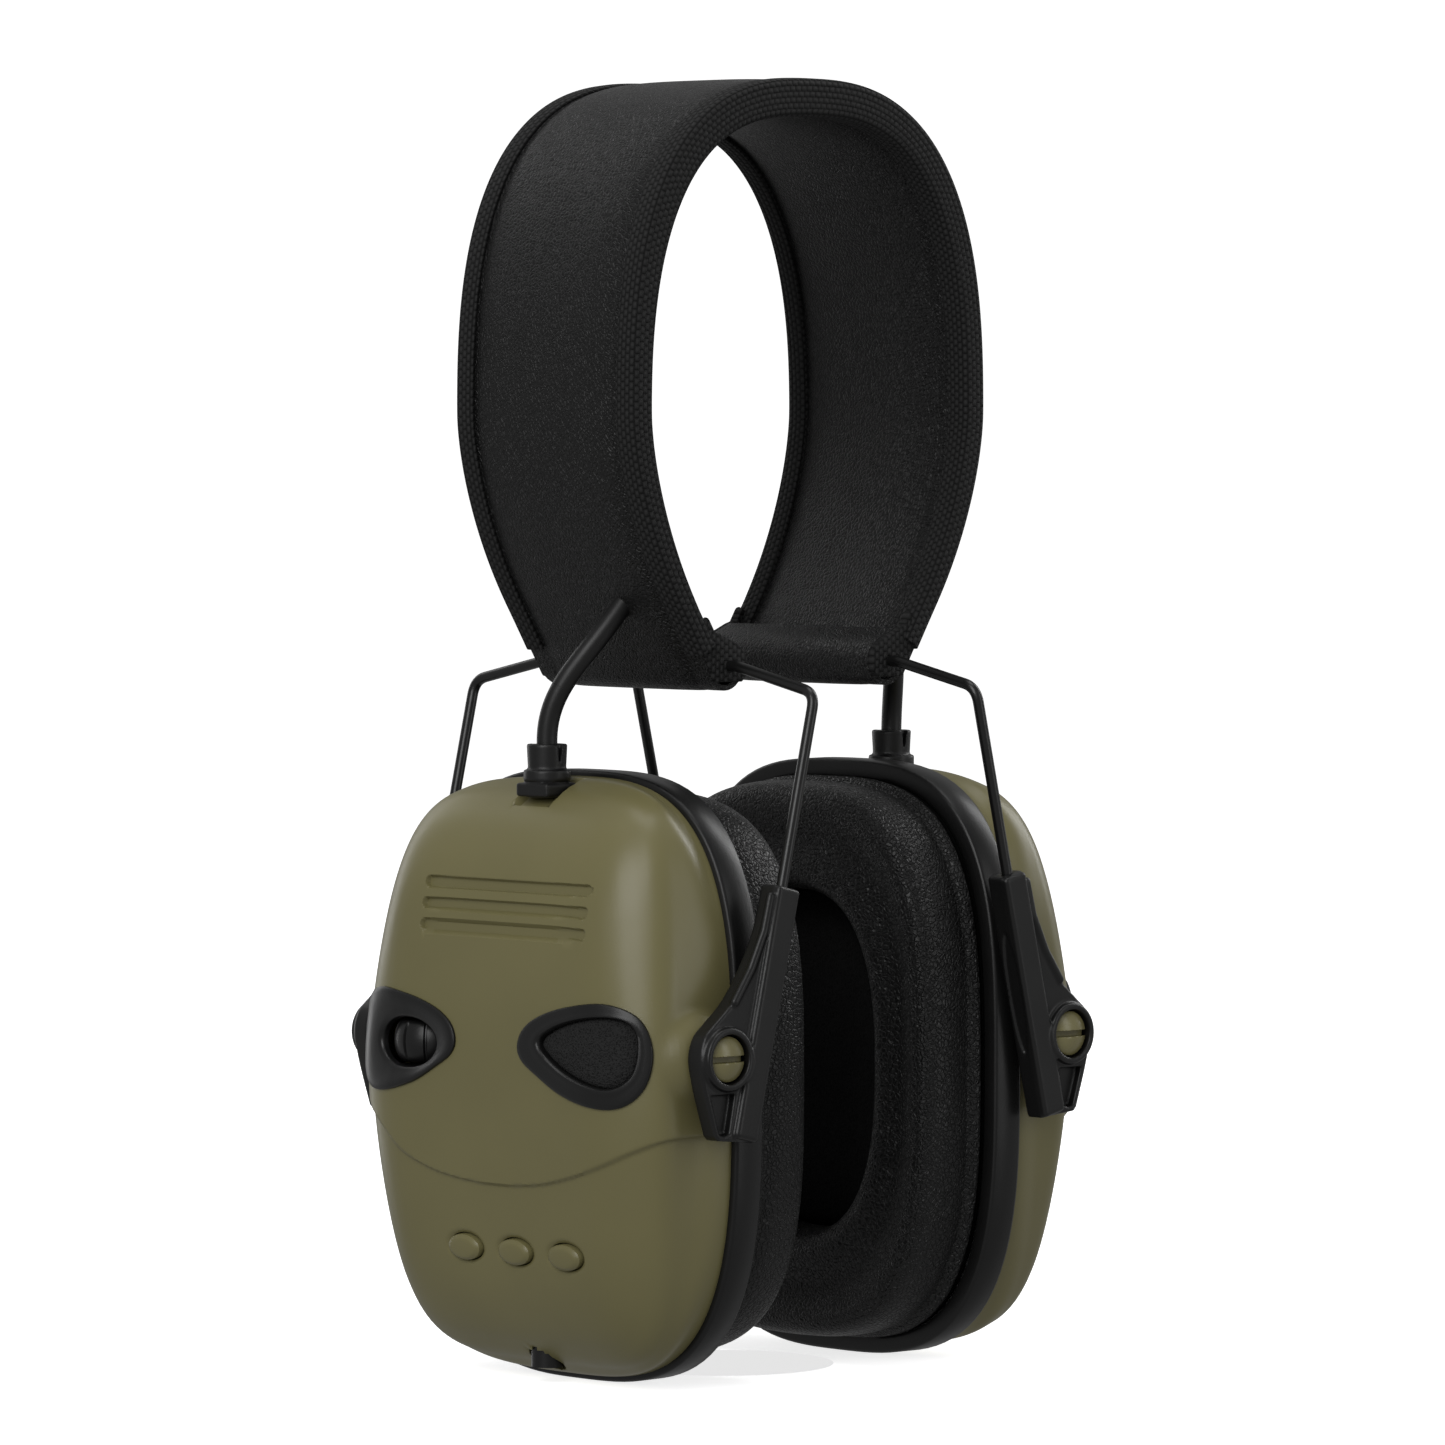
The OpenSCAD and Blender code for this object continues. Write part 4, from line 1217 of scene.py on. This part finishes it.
def screw_piece(side):
    name = SIDES[side] + "_pivot_screws"
    points, faces = field_solid(screw_field, (38, 34.2, 1.5), (46.6, 47.4, 10.1), 0.2)
    pair = joined((points, faces), (points * [1, -1, 1], faces))
    piece = add_piece(name, *pair, "screw_olive", side, sharp=45)
    finish_piece(piece, SIDES[side] + "_cup", name)


# ---- Headband ----

# The arch is two half superellipses that meet at ARCH_Z, one above it and one below.
ARCH_HALF, ARCH_Z, ARCH_TOP, ARCH_LOW = 43.0, 117, 58.7, 58.8
ARCH_TOP_E, ARCH_LOW_E = 2.6, 1.65
BAND_T_SIDE, BAND_T_TOP = 4.0, 5.6
BAND_HALF = 23.3
COVER_T = 1.0
COVER_HALF = 22.4
SEAM_Y = 18.0
SLEEVE_R = 4.4
LEAVE_Z = 81
PAD_END_Z = 75.4
TAPE_END_Z = 74.8
TAPE_Y = 18.6


def arch_point(k, a):
    """Point of the arch at depth k (0 outer face, 1 inner face) and angle a in radians."""
    half, drop = ARCH_HALF - k * BAND_T_SIDE, ARCH_LOW - k * 1.2
    rise = ARCH_TOP - k * BAND_T_TOP
    below = math.sin(a) < 0
    e = ARCH_LOW_E if below else ARCH_TOP_E
    x = half * abs(math.cos(a)) ** (2 / e)
    z = (drop if below else rise) * abs(math.sin(a)) ** (2 / e)
    return np.array([x, ARCH_Z - z if below else ARCH_Z + z])


def half_band():
    """Outer face of half the band from its top to the sleeve's tangent point, with its thickness.
    The passes even out its curvature where the arch meets the straight stretch."""
    low = -math.asin(((ARCH_Z - LEAVE_Z) / ARCH_LOW) ** (ARCH_LOW_E / 2))
    passes = 240
    angles = np.linspace(math.pi / 2, low, 900)
    outer = np.array([arch_point(0, a) for a in angles])
    thick = np.array([np.linalg.norm(arch_point(1, a) - arch_point(0, a)) for a in angles])
    to_bar = np.array(BAR) - outer[-1]
    reach = np.linalg.norm(to_bar)
    turn = math.atan2(to_bar[1], to_bar[0]) + math.asin(SLEEVE_R / reach)
    length = math.sqrt(reach**2 - SLEEVE_R**2)
    tangent = outer[-1] + length * np.array([math.cos(turn), math.sin(turn)])
    run = np.linspace(0, 1, 60)[1:, None]
    outer = np.vstack([outer, outer[-1] + run * (tangent - outer[-1])])
    thick = np.concatenate([thick, np.full(len(run), thick[-1])])
    for _ in range(passes):
        outer[1:-1] = (outer[:-2] + outer[2:]) / 4 + outer[1:-1] / 2
    return outer, thick


HALF_OUTER, HALF_THICK = half_band()


def band_stations(z_end, spacing):
    """Even stations along the band from one end at height z_end to the other.
    Gives each one's outer point, inward direction, thickness and run in millimetres."""
    keep = HALF_OUTER[:, 1] >= z_end
    half, thick = HALF_OUTER[keep], HALF_THICK[keep]
    path = np.vstack([half[::-1], half[1:] * [-1, 1]])
    thick = np.concatenate([thick[::-1], thick[1:]])
    run = np.concatenate([[0], np.cumsum(np.linalg.norm(np.diff(path, axis=0), axis=1))])
    at = np.linspace(0, run[-1], int(run[-1] / spacing) + 1)
    points = np.stack([np.interp(at, run, path[:, k]) for k in (0, 1)], 1)
    return points, inward_from(points), np.interp(at, run, thick), at


def inward_from(path):
    """Direction square to the band's path at each of its points, towards the head."""
    heading = unit(np.gradient(path, axis=0))
    return np.stack([-heading[:, 1], heading[:, 0]], 1)


def across_band(point, inward, outline):
    """A section's (y, depth) outline set across the band at a point of its path."""
    flat = point + outline[:, 1:] * inward
    return np.stack([flat[:, 0], outline[:, 0], flat[:, 1]], 1)


def band_loft(z_end, section, spacing):
    """Solid along the band. section(thickness, share) gives its closed outline as (y, depth) pairs.
    Its UV map is (run along the band, run round the section), in metres."""
    points, inward, thick, run = band_stations(z_end, spacing)
    rings, uv = [], []
    for p, n, t, along in zip(points, inward, thick, run):
        outline = np.asarray(section(t, along / run[-1]))
        rings.append(across_band(p, n, outline))
        girth = np.concatenate([[0], np.cumsum(np.linalg.norm(np.diff(outline, axis=0), axis=1))])
        uv += [(along * MM, g * MM) for g in girth]
    points, faces = lofted(rings)
    return points, faces, uv


def band_at(z, depth):
    """Place at a depth under the band's outer face, level with the outer face's height z."""
    i = int(np.argmin(np.abs(HALF_OUTER[:, 1] - z)))
    heading = unit(HALF_OUTER[i + 1] - HALF_OUTER[i - 1])
    return HALF_OUTER[i] + depth * np.array([heading[1], -heading[0]])


def loop_point(angle):
    return np.array(BAR) + SLEEVE_R * np.array([math.cos(angle), math.sin(angle)])


FLAP_END = band_at(75.5, BAND_T_SIDE + 0.45 + COVER_T)
LOOP_START = math.atan2(*(HALF_OUTER[-1] - BAR)[::-1])
LOOP_STOP = (math.atan2(*(FLAP_END - BAR)[::-1]) + math.acos(SLEEVE_R / np.linalg.norm(FLAP_END - BAR))
             - 2 * math.pi)


def sleeve_path():
    """Outer face of the leather loop round the wire's crossbar, and its flap up onto the pad."""
    loop = np.array([loop_point(a) for a in np.linspace(LOOP_START, LOOP_STOP, 60)])
    flap = loop[-1] + np.linspace(0, 1, 12)[1:, None] * (FLAP_END - loop[-1])
    return np.vstack([loop, flap])


def loop_patch(side, sign):
    """Woven end of the band at one side of its loop, open below, with its UV map. sign is 1 at the
    rear edge and -1 at the front one."""
    low = math.asin(-2.9 / SLEEVE_R)
    outline = [band_at(z, 0.05) for z in np.arange(79, 73.4, -0.6)]
    outline += [loop_point(a) * 0.995 + np.array(BAR) * 0.005 for a in np.linspace(LOOP_START, low, 14)]
    outline += [loop_point(a) for a in np.linspace(-math.pi - low, LOOP_STOP, 22)]
    outline += [FLAP_END] + [band_at(z, BAND_T_SIDE + 0.5) for z in (76.5, 77.8, 79)]
    outline = np.array(outline)
    middle = outline.mean(0)
    rings = []
    for size, y in ((0.90, 20.9), (0.96, 21.1), (0.99, 21.7), (0.99, 22.2), (0.97, 22.6), (0.92, 22.75)):
        flat = middle + size * (outline - middle)
        rings.append(np.column_stack([side * flat[:, 0], np.full(len(flat), sign * y), flat[:, 1]]))
    points, faces = lofted(rings)
    return points, faces, [(q[2] * MM, q[0] * MM) for q in points]


def band_rows(half, inner, count):
    """Places across the band: even ones between the seams, and closer ones outside them."""
    return np.concatenate([np.linspace(-half, -inner, count), np.linspace(-inner, inner, 25)[1:-1],
                           np.linspace(inner, half, count)])


def cover_piece():
    """Leather cover: crowned outer face, then a loop round the crossbar at each end."""
    whole = np.vstack([HALF_OUTER, sleeve_path()[1:]])
    path = resampled(np.vstack([whole[::-1], whole[1:] * [-1, 1]]), 320)
    rows = band_rows(COVER_HALF, 17.2, 8)
    seam = 0.38 * np.exp(-((np.abs(rows) - SEAM_Y) / 0.8) ** 2)
    lift = 0.75 * (1 - (rows / 19.5) ** 4).clip(0) - seam
    rings = []
    for p, n, s in zip(path, inward_from(path), np.abs(np.linspace(-1, 1, len(path)))):
        crown = smooth_step(0.93, 0.80, s)
        y = rows * (COVER_HALF - 0.9 * smooth_step(0.84, 0.9, s)) / COVER_HALF
        inner = np.stack([y[::-1], np.full(len(y), COVER_T)], 1)
        rings.append(across_band(p, n, np.vstack([np.stack([y, -crown * lift], 1), inner])))
    points, faces = lofted(rings)
    piece = add_piece("headband_cover", points, faces, "cover_leather", sharp=50)
    finish_piece(piece, "root", "headband_cover")


def pad_section(t, share):
    """Padded inner face: a crown between two stitched valleys."""
    rows = band_rows(20, 17.5, 4)
    ends = smooth_step(0.0, 0.03, min(share, 1 - share))
    crown = (1 - np.abs(rows / 18.3).clip(0, 1) ** 3.2) * (0.35 + (0.06 + 0.16 * (t - 3) / 4.4) * t * ends)
    depth = t * 0.98 + crown - 0.3 * np.exp(-((np.abs(rows) - SEAM_Y) / 0.7) ** 2)
    low = np.stack([rows[::-1], np.full(len(rows), t * 0.5)], 1)
    return np.vstack([np.stack([rows, depth], 1), low])


def pad_piece():
    points, faces, _ = band_loft(PAD_END_Z, pad_section, 1.8)
    piece = add_piece("headband_pad", points, faces, "pad_leather", sharp=60)
    finish_piece(piece, "root", "headband_pad")


def tape_section(sign):
    """C-shaped woven tape round one edge of the band."""
    def section(t, share):
        skin, edge = 0.62, BAND_HALF
        corner = [(edge - 1 + math.sin(a), 0.55 - 1.1 * math.cos(a)) for a in np.linspace(0, math.pi / 2, 6)]
        outer = [(TAPE_Y, 0.05), (TAPE_Y + 0.1, -0.42), (TAPE_Y + 0.7, -0.6), (TAPE_Y + 2, -0.66)] + corner
        inner = [(y, t - d) for y, d in reversed(outer)]
        inside = [(TAPE_Y, t - skin), (edge - 0.9, t - skin), (edge - 0.9, skin), (TAPE_Y, skin)]
        return [(sign * y, d) for y, d in outer + inner + inside]
    return section


def tape_piece(name, sign):
    parts = [band_loft(TAPE_END_Z, tape_section(sign), 1.4), loop_patch(LEFT, sign), loop_patch(RIGHT, sign)]
    points, faces = joined(*[(p, f) for p, f, _ in parts])
    uv = sum((list(u) for _, _, u in parts), [])
    piece = add_piece(name, points, faces, "binding_tape", uv=uv, sharp=50)
    finish_piece(piece, "root", name)


# ---- Build ----

make_camera()
make_lights()
dress_cad_nodes()
for cup_side in (LEFT, RIGHT):
    shell_piece(cup_side)
    rim_piece(cup_side)
    cushion_piece(cup_side)
    liner_piece(cup_side)
    bezel_piece(SIDES[cup_side] + "_mic_bezel", cup_side, FRONT, mic_window(), MIC_WINDOW_AT, MIC_SECTION)
    mic_foam_piece(cup_side)
    boot_piece(cup_side)
    lead_pieces(cup_side)
    wire_piece(cup_side)
    yoke_pieces(cup_side)
    screw_piece(cup_side)
bezel_piece("volume_bezel", RIGHT, REAR, wheel_window(), WHEEL_WINDOW_AT, WHEEL_SECTION)
wheel_piece()
for button_name, at_y in zip(("rear_button", "middle_button", "front_button"), BUTTON_Y):
    button_piece(button_name, at_y)
door_piece()
cover_piece()
pad_piece()
tape_piece("front_binding", -1)
tape_piece("rear_binding", 1)


def make_stage():
    """Pale round floor under the cups, curving up into a plain backdrop all round."""
    radius, rise, bend, sides = 4.5, 5.0, 1.5, 96
    profile = [(0.02, 0.0), (radius - bend, 0.0)]
    for a in np.linspace(0, math.pi / 2, 12)[1:]:
        profile.append((radius - bend + bend * math.sin(a), bend - bend * math.cos(a)))
    profile.append((radius, rise))
    rings = [np.column_stack([oval((0, 0), (r, r), sides), np.full(sides, FLOOR_Z + h)]) for r, h in profile]
    points, faces = lofted(rings, caps=False)
    faces.append(tuple(range(sides)))
    mesh = bpy.data.meshes.new("stage")
    mesh.from_pydata(points.tolist(), [], [f[::-1] for f in faces])
    mesh.shade_smooth()
    paper = make_material("stage_paper", grey(0.9), 0.9, specular=0.1)
    shader = paper.node_tree.nodes["Principled BSDF"]
    shader.inputs["Emission Color"].default_value = (1, 1, 1, 1)
    shader.inputs["Emission Strength"].default_value = 0.78
    mesh.materials.append(paper)
    stage = bpy.data.objects.new("stage", mesh)
    bpy.context.scene.collection.objects.link(stage)
    stage.visible_diffuse = False
    stage.visible_glossy = False
    stage.visible_shadow = False


make_stage()
